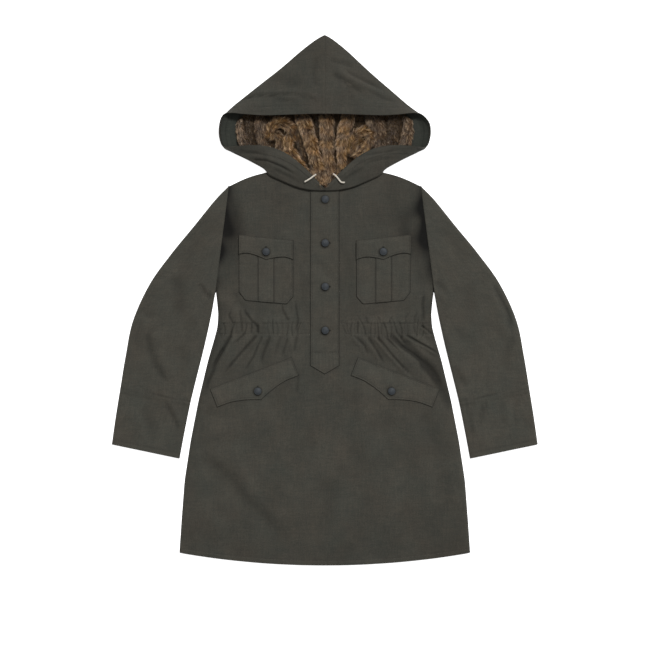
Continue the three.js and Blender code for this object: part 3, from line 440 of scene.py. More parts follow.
# broad soft troughs of the front: line, width, depth, lip
frontTroughs = [
    ([(-290, -350), (-232, -398), (-180, -462), (-118, -520), (-84, -560)], 17, 2.2, 1),
    ([(-282, -262), (-232, -268), (-196, -250)], 15, 0.9, -1),
    ([(-300, -330), (-240, -330), (-190, -320)], 16, 0.8, -1),
    ([(58, -200), (66, -260), (76, -330), (78, -400)], 17, 1.2, 1),
    ([(140, -195), (152, -230), (158, -262)], 10, 0.8, -1),
    ([(-52, -180), (-36, -290), (-52, -430)], 26, 0.9, 1),
    ([(222, -250), (252, -320), (272, -420), (276, -520)], 20, 1.3, 1),
    ([(30, -370), (10, -450), (-10, -540)], 24, 0.9, -1),
    ([(-160, -440), (-60, -420), (60, -438)], 26, 0.6, 1),
    ([(150, -560), (196, -470), (206, -380)], 24, 0.7, 1),
    ([(-212, 20), (-198, -6), (-176, -24)], 9, 1.2, -1),
    ([(-150, 250), (-90, 215), (-60, 150)], 24, 0.7, 1),
    ([(150, 250), (96, 205), (62, 150)], 26, 0.7, -1),
    ([(48, 100), (60, 40), (52, -30)], 12, 0.8, 1),
    ([(-48, 120), (-56, 30), (-50, -40)], 10, 0.7, -1),
    ([(206, 180), (222, 132), (238, 120)], 8, 1.0, -1),
    ([(-206, 200), (-198, 130), (-206, 60)], 14, 1.0, 1),
    ([(206, 130), (212, 70), (222, 20)], 13, 1.0, -1),
]
puckerXs = [
    -237, -229, -220, -212, -203, -193, -181, -168, -155, -144, -131, -119, -108, -97, -85, -76,
    -68, -61, 44, 52, 59, 68, 75, 83, 91, 105, 115, 122, 130, 140, 153, 163, 176, 183, 190, 205,
    212, 218, 226, 236]


# fine puckers that run across the waist's two rows of stitching
def puckerHeight(x, y):
    rng = np.random.default_rng(11)
    height = np.zeros(np.shape(x))
    middle = (body["waistTop"] + body["waistBottom"]) / 2
    for at in puckerXs:
        lean, bow = rng.uniform(-0.12, 0.42), rng.uniform(-0.015, 0.015)
        depth, width = rng.uniform(0.3, 1.6), rng.uniform(1.0, 2.1)
        top, low = rng.uniform(2, 18), rng.uniform(2, 18)
        far = x - at + math.copysign(1, at) * (lean * (y - middle) + bow * (y - middle) ** 2)
        ends = smooth((12 + top - (y - middle)) / 9) * smooth((12 + low + (y - middle)) / 9)
        height += ends * depth * (0.5 * bump(far - 2.2 * width, 1.5 * width) - bump(far, width))
    return height


# relief of the front: how strongly each kind counts, and noise as (height, size, seed)
frontRelief = {
    "troughs": 2.3, "gathers": 1.15, "creases": 1.3, "puckers": 1.2,
    "broad": (0.6, 110, 3), "small": (0.16, 30, 4),
    "hemDrop": 1.6, "hemRun": 60, "armholeDrop": 2.0, "rowDepth": 0.45, "rowHalf": 1.5,
    "rowFrom": 34,
}


# the front's outer face above the table, at any place on it
def frontHeight(x, y, inside=None, hem=None):
    half = halfWidth(y)
    if inside is None:
        inside = half - np.abs(x)
    if hem is None:
        hem = y - body["hemY"] + body["hemSag"] * (1 - np.minimum(np.abs(x) / half, 1) ** 2)
    sewn = smooth((y - body["underarmY"]) / 34)
    roll = lerp(body["sideRoll"], body["armholeDip"], sewn)
    t = np.clip(inside / roll, 0, 1)
    side = lerp(np.sqrt(1 - (1 - t) ** 2), smooth(t), sewn)
    top = topEdge(x, body["frontNeckY"])
    r = frontRelief
    relief = r["troughs"] * creaseHeight(x, y, frontTroughs) + uneven(x, y, *r["broad"])
    relief += uneven(x, y, *r["small"])
    relief -= r["hemDrop"] * (1 - smooth((hem - 2) / r["hemRun"]))
    besideArm = bump(inside - 9, 10) * sewn * smooth((y - 30) / 60) * smooth((250 - y) / 50)
    relief -= r["armholeDrop"] * besideArm
    full = lerp(body["seamTop"], body["top"] + relief, smooth((top - y) / 38))
    edge = sewn * body["seamTop"]
    near = smooth(inside / body["sideRoll"])
    fine = r["gathers"] * gatherHeight(x, y) + r["creases"] * creaseHeight(x, y, frontCreases)
    fine += r["puckers"] * puckerHeight(x, y)
    for row in (body["waistTop"], body["waistBottom"]):
        fine -= r["rowDepth"] * bump(y - row, r["rowHalf"]) * smooth((np.abs(x) - r["rowFrom"]) / 3)
    fine += 0.45 * smooth((body["hemFold"] - hem) / 1.5) - 0.35 * bump(hem - body["hemFold"] - 1, 1.2)
    return np.maximum(edge + (full - edge) * side + fine * near, 0)


# how dark the cloth lies in the hollow beside each armhole
def armholeShade(x, y, inside):
    reach = (8 + 16 * bump(y - 158, 62)) * np.where(x < 0, 1.15, 1.45)
    patch = 1 + 0.3 * wander(x, y, 60, 8)
    strong = np.where(x < 0, 1.45, 1.3) * lerp(0.4, 1, bump(y - 172, 60))
    return np.clip(strong * np.exp(-np.maximum(inside, 0) / reach) * smooth((y - 8) / 50) * patch, 0, 0.9)


def makeFront():
    rowYs = np.concatenate([
        body["hemY"] + np.array([0, 0.5, 1.2, 2.4, 4.5, 7, 8.6, 9.6, 10.6, 12, 15]),
        np.arange(-556, -232, 7.5), np.arange(-232, -150, 5), np.arange(-150, 12, 1.7),
        np.arange(12, 66, 5), np.arange(66, 252, 7), np.array([252, 256, 259, 261.5, 263.2, 264.5])])
    extra = -(len(rowYs) - 1) % 3
    rowYs = np.sort(np.concatenate([rowYs, np.linspace(-120, -100, extra + 2)[1:-1] + 0.4]))
    rim = np.array([0, 0.25, 0.7, 1.4, 2.4, 3.8, 5.6, 8, 11, 14.5])
    count = 301 - 2 * len(rim)
    half = halfWidth(rowYs)[:, None]
    middle = lerp(-1 + 17 / half, 1 - 17 / half, np.linspace(0, 1, count)[None, :])
    across = np.concatenate([rim / half - 1, middle, 1 - rim[::-1] / half], 1)
    rows = np.broadcast_to(rowYs[:, None], across.shape)
    tuck = -3.6 * smooth((rows - body["underarmY"]) / 20) * smooth((np.abs(across) - 0.985) / 0.015)
    x, y = panelPlace(across, rows, body["frontNeckY"], tuck)
    inside = (1 - np.abs(across)) * half
    hem = rows - body["hemY"]
    z = frontHeight(x, y, inside, hem)
    sunk = np.clip(-(creaseHeight(x, y, frontCreases) + puckerHeight(x, y)), 0, 2)
    raised = np.clip(gatherHeight(x, y), 0, 3)
    broad = creaseHeight(x, y, frontTroughs)
    # painted shade in the creases, puckers and broad troughs, in the hollow beside each armhole and where
    # the sides roll down; besides that the gathers' ridges are a little paler, mottling is random, and the
    # cloth darkens towards the hem and the right
    tone = (1 - 0.27 * sunk + 0.03 * raised) * (1 + 0.05 * np.clip(broad, -2, 1))
    tone *= 1 - armholeShade(x, y, inside)
    tone *= 1 - 0.3 * smooth((y + 260) / 150) * np.exp(-np.maximum(inside, 0) / 9) * smooth((20 - y) / 30)
    tone *= 1 + 0.045 * wander(x, y, 150, 5) + 0.03 * wander(x, y, 45, 6)
    tone *= 1 - 0.07 * smooth((-400 - y) / 160) * (1 + smooth((x - 180) / 90))
    front = makeWall("front_cloth", np.stack([x, y, z], -1), body["thick"], -1, tone, floor=2.0)
    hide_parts("front")


def makeBack():
    rowYs = edged(body["shoulderY"] - body["hemY"], [0, 0.8, 2.5], 78) + body["hemY"]
    across = edged(2, [0, 0.003, 0.01], 60) - 1
    across, rows = np.meshgrid(across, rowYs)
    inset = 3.55 - 2.55 * smooth((rows - body["underarmY"] - 15) / 40)
    x, y = panelPlace(across, rows, body["backNeckY"], inset)
    z = 1.55 + 0.25 * wander(x, y, 90, 21) + creaseHeight(x, y, [
        ([(-200, -60), (-60, -70), (80, -62), (210, -66)], 6, 0.5, 1),
        ([(-120, -90), (-150, -240), (-130, -420)], 18, 0.4, 1),
        ([(110, -90), (150, -260), (170, -460)], 20, 0.4, -1)])
    back = makeWall("back_cloth", np.stack([x, y, z], -1), 1.3, -1)
    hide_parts("back")


makeFront()
makeBack()
print("smock: front and back made")

# left sleeve's sections, armhole to wrist: outer x, outer y, inner x, inner y, height
sleeve = {
    "sections": [
        (-220.0, 265.0, -251.4, 20.0, 5.6), (-225.5, 260.0, -252.2, 15.0, 7.6),
        (-253.0, 231.5, -254.5, 2.0, 8.2), (-301.5, 171.5, -259.5, -26.0, 8.2),
        (-351.5, 110.5, -267.0, -62.0, 8.2), (-402.0, 40.0, -277.5, -108.0, 8.2),
        (-440.5, -44.0, -290.0, -158.0, 8.2), (-457.5, -125.0, -302.0, -206.0, 8.2),
        (-470.0, -201.0, -309.5, -238.0, 8.2), (-480.5, -266.0, -322.0, -300.0, 7.8),
        (-489.5, -329.0, -333.5, -361.6, 6.6)],
    "rows": 124, "upper": 70, "lower": 26, "thick": 1.3, "round": 1.3, "underRound": 7,
    "bandTop": [(-468, -198), (-310, -230)], "bandBottom": [(-465, -209), (-310, -241)],
    "cuffFold": 11, "toneLeft": 1.08, "toneRight": 1.13,
    "folds": 1.7, "broad": (0.5, 85, 31), "small": (0.16, 28, 32),  # noise as (height, size, seed)
    "rowDark": 0.3, "rowHalf": 1.6, "seamDark": 0.25,
    "toCuff": 480, "toArm": 620,  # lengths by which places along the sleeve are told
}
# soft folds as (line, width, depth, lip), in each sleeve's own place
sleeveFolds = {
    "left": [
        ([(-290, 40), (-276, 20), (-258, 2)], 5, 1.6, 1),
        ([(-345, 60), (-334, 10), (-342, -44)], 17, 1.5, -1),
        ([(-296, -44), (-312, -58), (-330, -64)], 12, 0.7, 1),
        ([(-407, -70), (-401, -112), (-388, -150), (-352, -200)], 8, 1.9, 1),
        ([(-424, -20), (-404, -34), (-384, -28)], 8, 1.0, -1),
        ([(-366, -234), (-350, -264), (-334, -300)], 5, 1.9, 1),
        ([(-420, -240), (-404, -280), (-392, -330)], 11, 0.9, -1),
        ([(-440, 0), (-430, -60), (-438, -130)], 13, 0.8, -1),
        ([(-262, 180), (-300, 120), (-340, 60)], 22, 0.8, 1),
        ([(-330, -100), (-322, -150), (-340, -190)], 12, 0.8, 1),
    ],
    "right": [
        ([(254, 46), (268, 30), (282, 20)], 8, 1.4, -1),
        ([(386, 40), (404, 4), (421, -28), (432, -84)], 7, 1.9, -1),
        ([(430, -80), (420, -120), (412, -160)], 11, 1.4, 1),
        ([(292, -150), (306, -172), (324, -196)], 8, 1.5, 1),
        ([(330, 40), (338, -20), (326, -80)], 20, 1.0, 1),
        ([(300, -60), (318, -84), (352, -96)], 14, 0.8, -1),
        ([(368, -232), (358, -262), (352, -300)], 6, 1.5, -1),
        ([(410, -226), (404, -256), (412, -290)], 7, 1.0, 1),
        ([(326, -250), (334, -282), (338, -316)], 6, 1.0, 1),
        ([(264, 180), (300, 128), (330, 70)], 20, 0.8, -1),
        ([(440, -222), (434, -260), (442, -300)], 6, 0.8, -1),
    ],
}


# smooth rows between a table's rows
def between(table, place):
    table = np.asarray(table, float)
    last = len(table) - 1
    row = np.asarray(place) * last
    i = np.clip(np.floor(row).astype(int), 0, last - 1)
    t = (row - i)[:, None]
    a, b, c, d = (table[np.clip(i + k, 0, last)] for k in (-1, 0, 1, 2))
    return blend(a, b, c, d, t)


# relief of a sleeve's upper face at any place on it
def sleeveRelief(word, x, y, toCuff):
    mirror = 1 if word == "left" else -1
    ownX = x * mirror
    height = sleeve["folds"] * creaseHeight(x, y, sleeveFolds[word])
    height = height + uneven(x, y, *sleeve["broad"])
    height += uneven(x, y, *sleeve["small"])
    upper, along = offLine(ownX, y, sleeve["bandTop"])
    lower, _ = offLine(ownX, y, sleeve["bandBottom"])
    inBand = smooth(-upper / 1.5 + 0.5) * smooth(lower / 1.5 + 0.5)
    ripple = np.sin(along * 95 + 2.2 * np.sin(along * 23) + (1.6 if word == "left" else 0) + y * 0.12)
    height += inBand * (0.7 + 0.6 * ripple)
    nearBand = bump(upper, 9) * (upper > 0) + bump(lower, 12) * (lower < 0)
    height += 0.6 * nearBand * np.sin(along * 48 + 3 * np.sin(along * 9))
    height -= 0.8 * (bump(upper, 1.2) + bump(lower, 1.2))
    fold = sleeve["cuffFold"]
    return height + (0.5 * smooth((fold - toCuff) / 1.5) - 0.4 * bump(toCuff - fold - 1, 1.2))


def makeSleeve(word):
    mirror = 1 if word == "left" else -1
    fine = np.array([0, 0.001, 0.003, 0.006])
    s = np.concatenate([fine, edged(1 - 0.012, [0, 0.005], sleeve["rows"]) + 0.006])
    s = np.unique(np.clip(s, 0, 1))
    s = np.concatenate([s[:-1], 1 - np.linspace(0.004, 0, 2 + -len(s) % 3)[1:]])
    table = between(sleeve["sections"], s)
    start, end, high = table[:, :2], table[:, 2:4], np.clip(table[:, 4], 5.6, 8.3)[:, None] / 2
    width = np.linalg.norm(end - start, axis=1)[:, None]
    over = (1 - np.cos(np.linspace(0, math.pi, sleeve["upper"]))) / 2
    over = lerp(over, np.linspace(0, 1, sleeve["upper"]), 0.55)
    under = np.linspace(1, 0, sleeve["lower"] + 2)[1:-1]
    under = under + 0.1 * np.sin(2 * math.pi * under) / 2
    across = np.concatenate([over, under])[None, :]
    onTop = (np.arange(across.size) < len(over))[None, :]
    edge = width * np.minimum(across, 1 - across)
    rolled = np.clip(edge / np.where(onTop, high * 2 * sleeve["round"], sleeve["underRound"]), 0, 1)
    z = high * np.sqrt(1 - (1 - rolled) ** 2) * np.where(onTop, 1, -1) + high
    x = lerp(start[:, :1], end[:, :1], across) * mirror
    y = lerp(start[:, 1:], end[:, 1:], across)
    toCuff = (1 - s)[:, None] * sleeve["toCuff"]
    inner = smooth(edge / 16)
    relief = sleeveRelief(word, x, y, np.broadcast_to(toCuff, x.shape))
    z = z + np.where(onTop, relief * inner, 0)
    toArm = s[:, None] * sleeve["toArm"]
    z = np.where(onTop, z - 1.6 * np.exp(-toArm / 2.2), z)
    sunk = np.clip(-creaseHeight(x, y, sleeveFolds[word]), 0, 3)
    # painted shade in the folds, in the band's two stitching rows, at the cuff's fold and at the armhole
    # seam, over each sleeve's own level and random mottling
    tone = sleeve["tone" + word.title()] - 0.15 * sunk * onTop + 0.03 * wander(x, y, 110, 33)
    upper, lower = (offLine(x * mirror, y, sleeve[key])[0] for key in ("bandTop", "bandBottom"))
    dark, wide = sleeve["rowDark"], sleeve["rowHalf"]
    tone = tone * (1 - onTop * (dark * bump(upper, wide) + dark * bump(lower, wide)))
    tone = tone * (1 - 0.18 * onTop * bump(toCuff - sleeve["cuffFold"] - 1, wide))
    tone = tone * (1 - sleeve["seamDark"] * np.exp(-toArm / 3.0))
    grid = np.stack([x, y, np.maximum(z, 0.02)], -1)
    uv = np.stack([across * width + 400, y], -1)
    made = makeWall("sleeve_cloth_" + word, grid, sleeve["thick"], mirror, tone, uv, around=True)
    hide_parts("sleeve_" + word)


makeSleeve("left")
makeSleeve("right")
print("smock: sleeves made")

# Hood, one half from its centre seam. Each row is a line across the cloth, x y z for: the face edge,
# the fold where the cloth turns under, the place where it lies down, and its seam end.
hood = {
    "stations": [
        (0.2, 427, 35, 0.2, 610, 6, 0.2, 607, 1.1, 0.2, 602, 1.1),
        (18, 427, 35, 19, 599.5, 6.5, 17, 597, 1.1, 0.2, 592, 1.1),
        (44, 426.5, 35, 53, 573, 7, 50, 570, 1.1, 0.2, 562, 1.1),
        (86, 425, 34, 100, 531, 7.5, 96, 528, 1.1, 0.2, 520, 1.1),
        (134, 424, 32, 155, 485.5, 8, 150, 482, 1.1, 0.2, 474, 1.1),
        (176, 426.5, 29, 191, 455.5, 9, 185, 452, 1.1, 0.2, 440, 1.1),
        (207, 429.5, 25, 213, 437, 12, 205, 434, 1.1, 0.2, 416, 1.1),
        (225, 427, 21, 226, 425.5, 12, 213, 421, 1.1, 0.2, 398, 1.1),
        (237.5, 412, 19, 234.5, 411, 10, 217, 407, 1.1, 0.2, 382, 1.1),
        (241.5, 392, 18, 238, 392, 9, 219, 391, 1.1, 0.2, 364, 1.1),
        (239.5, 371, 18, 236, 371.5, 9, 218, 373, 1.1, 0.2, 344, 1.1),
        (231, 354, 19, 231, 352.5, 9, 214, 355, 1.1, 0.2, 324, 1.1),
        (211, 354.5, 21, 214, 343.5, 7, 206, 346, 1.1, 0.2, 304, 1.1),
        (182, 356.5, 23, 184, 329, 6.5, 179, 333, 1.1, 0.2, 283.6, 1.1),
        (154, 356.5, 24, 157, 315, 6.5, 153, 319, 1.1, 80, 288.3, 1.1),
        (140, 355, 24.5, 139, 304.5, 8, 137, 307, 2.6, 131.5, 297.8, 2.6),
        (128, 352.5, 25, 126, 291.5, 12, 127, 292.5, 7.4, 126.5, 295.4, 6.5),
        (108, 346.5, 25, 100, 279, 12.5, 101, 279.5, 7.5, 101, 283.6, 6.5),
        (80, 332, 24, 66, 264, 13.5, 67, 267, 8, 67, 273.8, 6.5),
        (52, 309.5, 22, 36, 257, 14, 36.5, 259.5, 9.6, 36.5, 269.3, 6.5),
        (28, 286.5, 19.5, 15, 255.4, 14, 15, 258, 9.8, 15, 267.9, 6.5),
        (1.2, 259.5, 16.5, 0.2, 255.2, 13.6, 0.2, 257, 9.9, 0.2, 267.6, 6.5)],
    "rows": 136, "top": 46, "turn": 12, "under": 12, "crown": 3.5, "skew": 0.042,
    "half": 1.1, "thick": 1.3, "band": 20, "bandRise": 0.6,
    "folds": 2.0, "broad": (0.6, 75, 41), "small": (0.18, 26, 42),  # noise as (height, size, seed)
    "throatY": 300, "throatRun": 20,
    "lipFrom": 11,  # the first row of the lower lip
    "cutApart": 500,  # keeps the two halves apart on the cloth they are cut from
}
# creases of the hood's upper face as (line, width, depth, lip)
hoodFolds = [
    ([(-196, 462), (-150, 470), (-104, 471), (-66, 473), (-44, 464), (-26, 450)], 2.6, 1.5, 1),
    ([(-50, 476), (-36, 466), (-14, 452)], 2.4, 1.2, 1),
    ([(-120, 470), (-96, 458), (-60, 455)], 4, 0.9, 1),
    ([(16, 522), (40, 508), (78, 482), (88, 468)], 6, 1.5, 1),
    ([(44, 528), (72, 512), (104, 498), (140, 480)], 5, 1.3, -1),
    ([(12, 552), (36, 546), (70, 538)], 5, 0.9, 1),
    ([(50, 500), (56, 474), (62, 450)], 4, 0.9, -1),
    ([(96, 482), (128, 466), (168, 456)], 4, 0.9, 1),
    ([(-20, 560), (-26, 520), (-18, 480)], 9, 0.8, -1),
    ([(-120, 520), (-80, 500), (-40, 498)], 12, 0.7, 1),
    ([(-168, 326), (-132, 321), (-96, 306), (-60, 284)], 2.8, 1.3, 1),
    ([(-120, 304), (-84, 286), (-52, 268)], 4, 0.5, 1),
    ([(70, 330), (104, 334), (146, 341), (178, 350)], 3.4, 0.7, -1),
    ([(90, 312), (120, 324), (160, 330)], 5, 0.5, 1),
    ([(40, 276), (70, 294), (92, 306)], 5, 0.8, 1),
    ([(-200, 345), (-170, 340), (-140, 338)], 4, 0.9, -1),
]


def hoodX(side, x, y):
    skew = hood["skew"] * smooth((y - 400) / 55) * (1 - 0.3 * smooth((y - 500) / 60))
    return side * np.maximum(0.2, x) * (1 - side * skew)


# the middle of the hood's cloth: rows round the face edge, columns from that edge to the seam end
def hoodMiddle(places):
    table = between(hood["stations"], places)[:, None, :]
    edge, fold, floor, seam = (table[..., k:k + 3] for k in (0, 3, 6, 9))
    long = np.linalg.norm(fold - edge, axis=2)
    t = np.concatenate([[0, 0.004, 0.012, 0.025], np.linspace(0, 1, hood["top"] + 1)[2:]])[None, :, None]
    top = lerp(edge, fold, t)
    top[..., 2] += hood["crown"] * np.sin(math.pi * t[..., 0] ** 0.8) * smooth(long / 80)
    out = (fold - edge) * (1, 1, 0)
    out = out / np.maximum(np.linalg.norm(out, axis=2, keepdims=True), 1)
    corner = lerp(fold, floor, 0.45) + out * np.minimum(long, 20)[..., None] * 0.2
    corner[..., 2] = lerp(floor[..., 2], fold[..., 2], 0.25)
    t = (np.arange(1, hood["turn"] + 1) / hood["turn"])[None, :, None]
    turn = (1 - t) ** 2 * fold + 2 * t * (1 - t) * corner + t**2 * floor
    t = (np.arange(1, hood["under"] + 1) / hood["under"])[None, :, None]
    middle = np.concatenate([top, turn, lerp(floor, seam, t)], 1)
    middle[..., 0] = np.maximum(middle[..., 0], 0.2)
    return middle


def runAcross(grid):
    steps = np.linalg.norm(np.diff(grid, axis=1), axis=2)
    return np.concatenate([np.zeros((len(grid), 1)), np.cumsum(steps, 1)], 1)


hoodRows = np.concatenate([[0, 0.0008, 0.002], np.linspace(0, 1, hood["rows"])[1:-1], [0.998, 1]])
hoodRows = hoodRows[:len(hoodRows) - (len(hoodRows) - 1) % 3]
hoodRows[-1] = 1
hoodGrid = hoodMiddle(hoodRows)
hoodOut = gridNormals(hoodGrid, False)
hoodRun = runAcross(hoodGrid)
hoodTopCount = 3 + hood["top"]


# relief of the hood's upper face: creases, soft noise, and the drawcord tunnel with its puckers
def hoodRelief(side, x, y, run, onTop):
    relief = hood["folds"] * creaseHeight(x, y, hoodFolds) + uneven(x, y, *hood["broad"])
    relief += uneven(x, y, *hood["small"])
    ease = smooth(run / 6)
    puckers = 0.22 * np.sin(x * 0.31 + 1.7 * np.sin(x * 0.07)) * smooth((hood["band"] + 6 - run) / 8)
    band = hood["band"]
    tunnel = hood["bandRise"] * smooth((band - run) / 2) - 0.55 * bump(run - band - 0.6, 1.2)
    return onTop * (relief * ease + puckers * ease + tunnel)


def makeHoodHalf(word, side):
    onTop = (np.arange(hoodGrid.shape[1]) < hoodTopCount + 1)[None, :] * 1.0
    fade = smooth((hoodRun[:, hoodTopCount:hoodTopCount + 1] - hoodRun) / 10)
    x = hoodX(side, hoodGrid[..., 0], hoodGrid[..., 1])
    relief = hoodRelief(side, x, hoodGrid[..., 1], hoodRun, onTop * fade)
    grid = hoodGrid + hoodOut * (hood["half"] + relief)[..., None]
    aboveThroat = smooth((grid[..., 1] - hood["throatY"]) / hood["throatRun"])
    seam = bump(grid[..., 0], 1.3) * onTop * aboveThroat
    lapped = 0.45 * smooth((7 - grid[..., 0]) / 1.2) * onTop * (side < 0) * aboveThroat
    grid[..., 2] = np.maximum(grid[..., 2] - seam + lapped, 0.05)
    lap = 0.7 * smooth((1.6 - grid[..., 0]) / 1.6)
    grid[..., 0] = hoodX(side, grid[..., 0], grid[..., 1]) - side * lap
    # painted shade in the creases and in the tunnel's stitching row, and a painted patch of light on the
    # upper face right of the seam; the lower lip is a little paler than the hood above it, and mottling is
    # random
    sunk = np.clip(-creaseHeight(x, hoodGrid[..., 1], hoodFolds), 0, 2)
    line = bump(hoodRun - hood["band"] - 0.6, 1.3) * onTop
    tone = lerp(1.04, 0.93, smooth((grid[..., 1] - 335) / 30)) * (1 - 0.24 * sunk * onTop)
    lighter = 0.07 * onTop * bump(grid[..., 0] - 50, 55) * bump(grid[..., 1] - 500, 60)
    tone = tone * (1 + lighter) * (1 - 0.22 * line)
    tone = tone * (1 + 0.03 * wander(grid[..., 0], grid[..., 1], 90, 43))
    uv = np.stack([hoodGrid[..., 0] + side * hood["cutApart"], hoodRun], -1)
    made = makeWall("hood_cloth_" + word, grid, hood["thick"], side, tone, uv)
    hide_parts("hood_" + word)
    return made


# the facing sewn inside the hood's edge, at the side of the face
facing = {"from": 0.25, "to": 0.5625, "start": 4, "reach": 46, "row": 20, "inset": 1.9, "thick": 1.0}


def makeFacing(word, side):
    pick = np.flatnonzero((hoodRows >= facing["from"] - 0.004) & (hoodRows <= facing["to"] + 0.004))
    pick = pick[:len(pick) - (len(pick) - 1) % 3]
    reaches = edged(facing["reach"] - facing["start"], [0, 0.4, 1], 26) + facing["start"]
    fromRow = reaches[None, :] - facing["row"]
    inside = hoodGrid - hoodOut * facing["inset"]
    grid = np.array([[[np.interp(reach, hoodRun[i], inside[i, :, k]) for k in range(3)]
                      for reach in reaches] for i in pick])
    grid[..., 2] = np.maximum(grid[..., 2], 1.4)
    grid[..., 0] = hoodX(side, grid[..., 0], grid[..., 1])
    ribs = 0.25 * wander(grid[..., 0], grid[..., 1], 16, 51) - 0.4 * bump(fromRow, 1.2)
    grid[..., 2] += ribs * 0.6
    # painted shade in the groove along the stitching row
    tone = np.broadcast_to(1 - 0.3 * bump(fromRow, 1.4), grid.shape[:2])
    uv = np.stack([grid[..., 1], np.broadcast_to(reaches[None, :], grid.shape[:2])], -1)
    made = makeWall("facing_cloth_" + word, grid, facing["thick"], -side, tone, uv)
    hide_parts("hood_facing_" + word)
    return made


hoodHalves = [makeHoodHalf("left", -1), makeHoodHalf("right", 1)]
facings = [makeFacing("left", -1), makeFacing("right", 1)]
print("smock: hood made")

buttonNodes = sorted(name for name in frame["nodes"] if "button" in name)
placket = {
    "half": 33.8, "top": 257.5, "shoulder": -148, "point": -168, "boxTop": -117, "lift": 2.0,
    "stitch": 4.4,
}
laid = {
    "thick": 0.9, "radius": 1.3, "stitch": 4.2, "groove": 0.45, "grooveHalf": 0.9,
    "swell": 0.4, "swellAt": 2.3, "swellHalf": 1.2,
    # the laid pieces' level, and their painted shade on the turned edge and in the groove under the
    # stitches
    "tone": 1.05, "edgeDark": 0.76, "edgeHalf": 1.5, "rowDark": 0.2, "rowHalf": 1.1,
}
laidEdge = [0, 0.4, 0.9, 1.5, 2.4, 3.4, 4, 4.6, 5.6]  # steps in from a laid piece's edge
# dark cloth round a button: how dark, how far and how soft, and how far from its middle
shadow = {"depth": 0.55, "reach": 13.5, "soft": 5, "x": 1.0, "y": 1.3}


# a topstitched edge: rounded over, a groove under the stitches and a soft swell between
def stitchedEdge(inside, drop):
    relief = turnedEdge(inside, drop, laid["radius"])
    relief = relief - laid["groove"] * bump(inside - laid["stitch"], laid["grooveHalf"])
    return relief + laid["swell"] * bump(inside - laid["swellAt"], laid["swellHalf"])


# painted shade on a laid piece's turned edge and in the groove under its stitches
def edgeShade(inside):
    edge = laid["edgeDark"] * bump(inside, laid["edgeHalf"])
    return laid["tone"] - edge - laid["rowDark"] * bump(inside - laid["stitch"], laid["rowHalf"])


# how dark the cloth is round the buttons, a little more on the side away from the sun
def buttonShade(x, y):
    shade = np.zeros(np.shape(x))
    for node in buttonNodes:
        low, high = nodeBox(node)
        middle = (low + high) / 2
        far = np.hypot(x - middle[0] + shadow["x"], y - middle[1] + shadow["y"])
        dark = shadow["depth"] * smooth((shadow["reach"] - far) / shadow["soft"])
        shade = np.maximum(shade, dark)
    return shade


def layPiece(name, x, y, lift, relief, tone, facingSign, node):
    z = frontHeight(x, y) + lift + relief
    tone = 1.05 * tone * (1 + 0.03 * wander(x, y, 60, 61)) * (1 - buttonShade(x, y))
    made = makeWall(name, np.stack([x, y, z], -1), laid["thick"], facingSign, tone, stride=2)
    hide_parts(node)
    return made


def makePlacket():
    across = edged(2 * placket["half"], laidEdge, 24, 2) - placket["half"]
    down = edged(placket["top"] - placket["shoulder"], [0, 0.5, 1.1, 1.8, 2.8, 3.8, 4.6],
                 150, 2)
    x, rows = np.meshgrid(across, placket["shoulder"] + down)
    pointed = (placket["point"] - placket["shoulder"]) * (1 - np.abs(x) / placket["half"])
    y = rows + pointed * smooth((-100 - rows) / 48)
    side = placket["half"] - np.abs(x)
    below = (rows - placket["shoulder"]) * 0.86
    inside = np.minimum(side, below)
    relief = stitchedEdge(inside, placket["lift"] - 0.1)
    relief = relief - 0.6 * bump(y - placket["boxTop"], 1.4)
    soft = 0.4 * wander(x, y, 46, 62) + 0.7 * creaseHeight(x, y, [
        ([(-20, 90), (0, 70), (16, 40)], 10, 0.7, 1), ([(14, -10), (4, -40), (12, -70)], 9, 0.6, -1)])
    relief = relief + soft * smooth(inside / 8)
    inBox = smooth((placket["boxTop"] - y) / 4)
    ripple = np.sin(x * 0.8 + 0.7 * np.sin(x * 0.23) + 0.02 * y) * inBox * smooth(inside / 5)
    # painted shade at the edges, the sides and the box's top row, with light and shade painted along the
    # box's ripples
    tone = edgeShade(inside) * (1 + 0.04 * inBox + 0.05 * ripple)
    tone = tone * (1 - 0.3 * bump(y - placket["boxTop"], 1.6))
    tone = tone * (1 - 0.12 * bump(side, 2.2))
    made = layPiece("placket_cloth", x, y, placket["lift"], relief + 0.3 * ripple, tone, -1, "placket")


chestPocket = {
    "outerX": 197.5, "innerX": 72, "topOuterY": 153, "topInnerY": 140,
    "bottomOuterY": 2.5, "bottomInnerY": -8.5, "chamferX": 15, "chamferY": 19,
    "pleatMiddle": 135, "pleatHalf": 17.5, "pleatRise": 0.9, "lift": 2.1,
}
chestFlap = {
    "depthEnd": 46, "depthDip": 41.5, "depthPoint": 52, "pointShare": 0.65, "lift": 1.7,
    "climb": 3.0,
}


def chestTop(far):
    wide = chestPocket["outerX"] - chestPocket["innerX"]
    return lerp(chestPocket["topOuterY"], chestPocket["topInnerY"], (chestPocket["outerX"] - far) / wide)


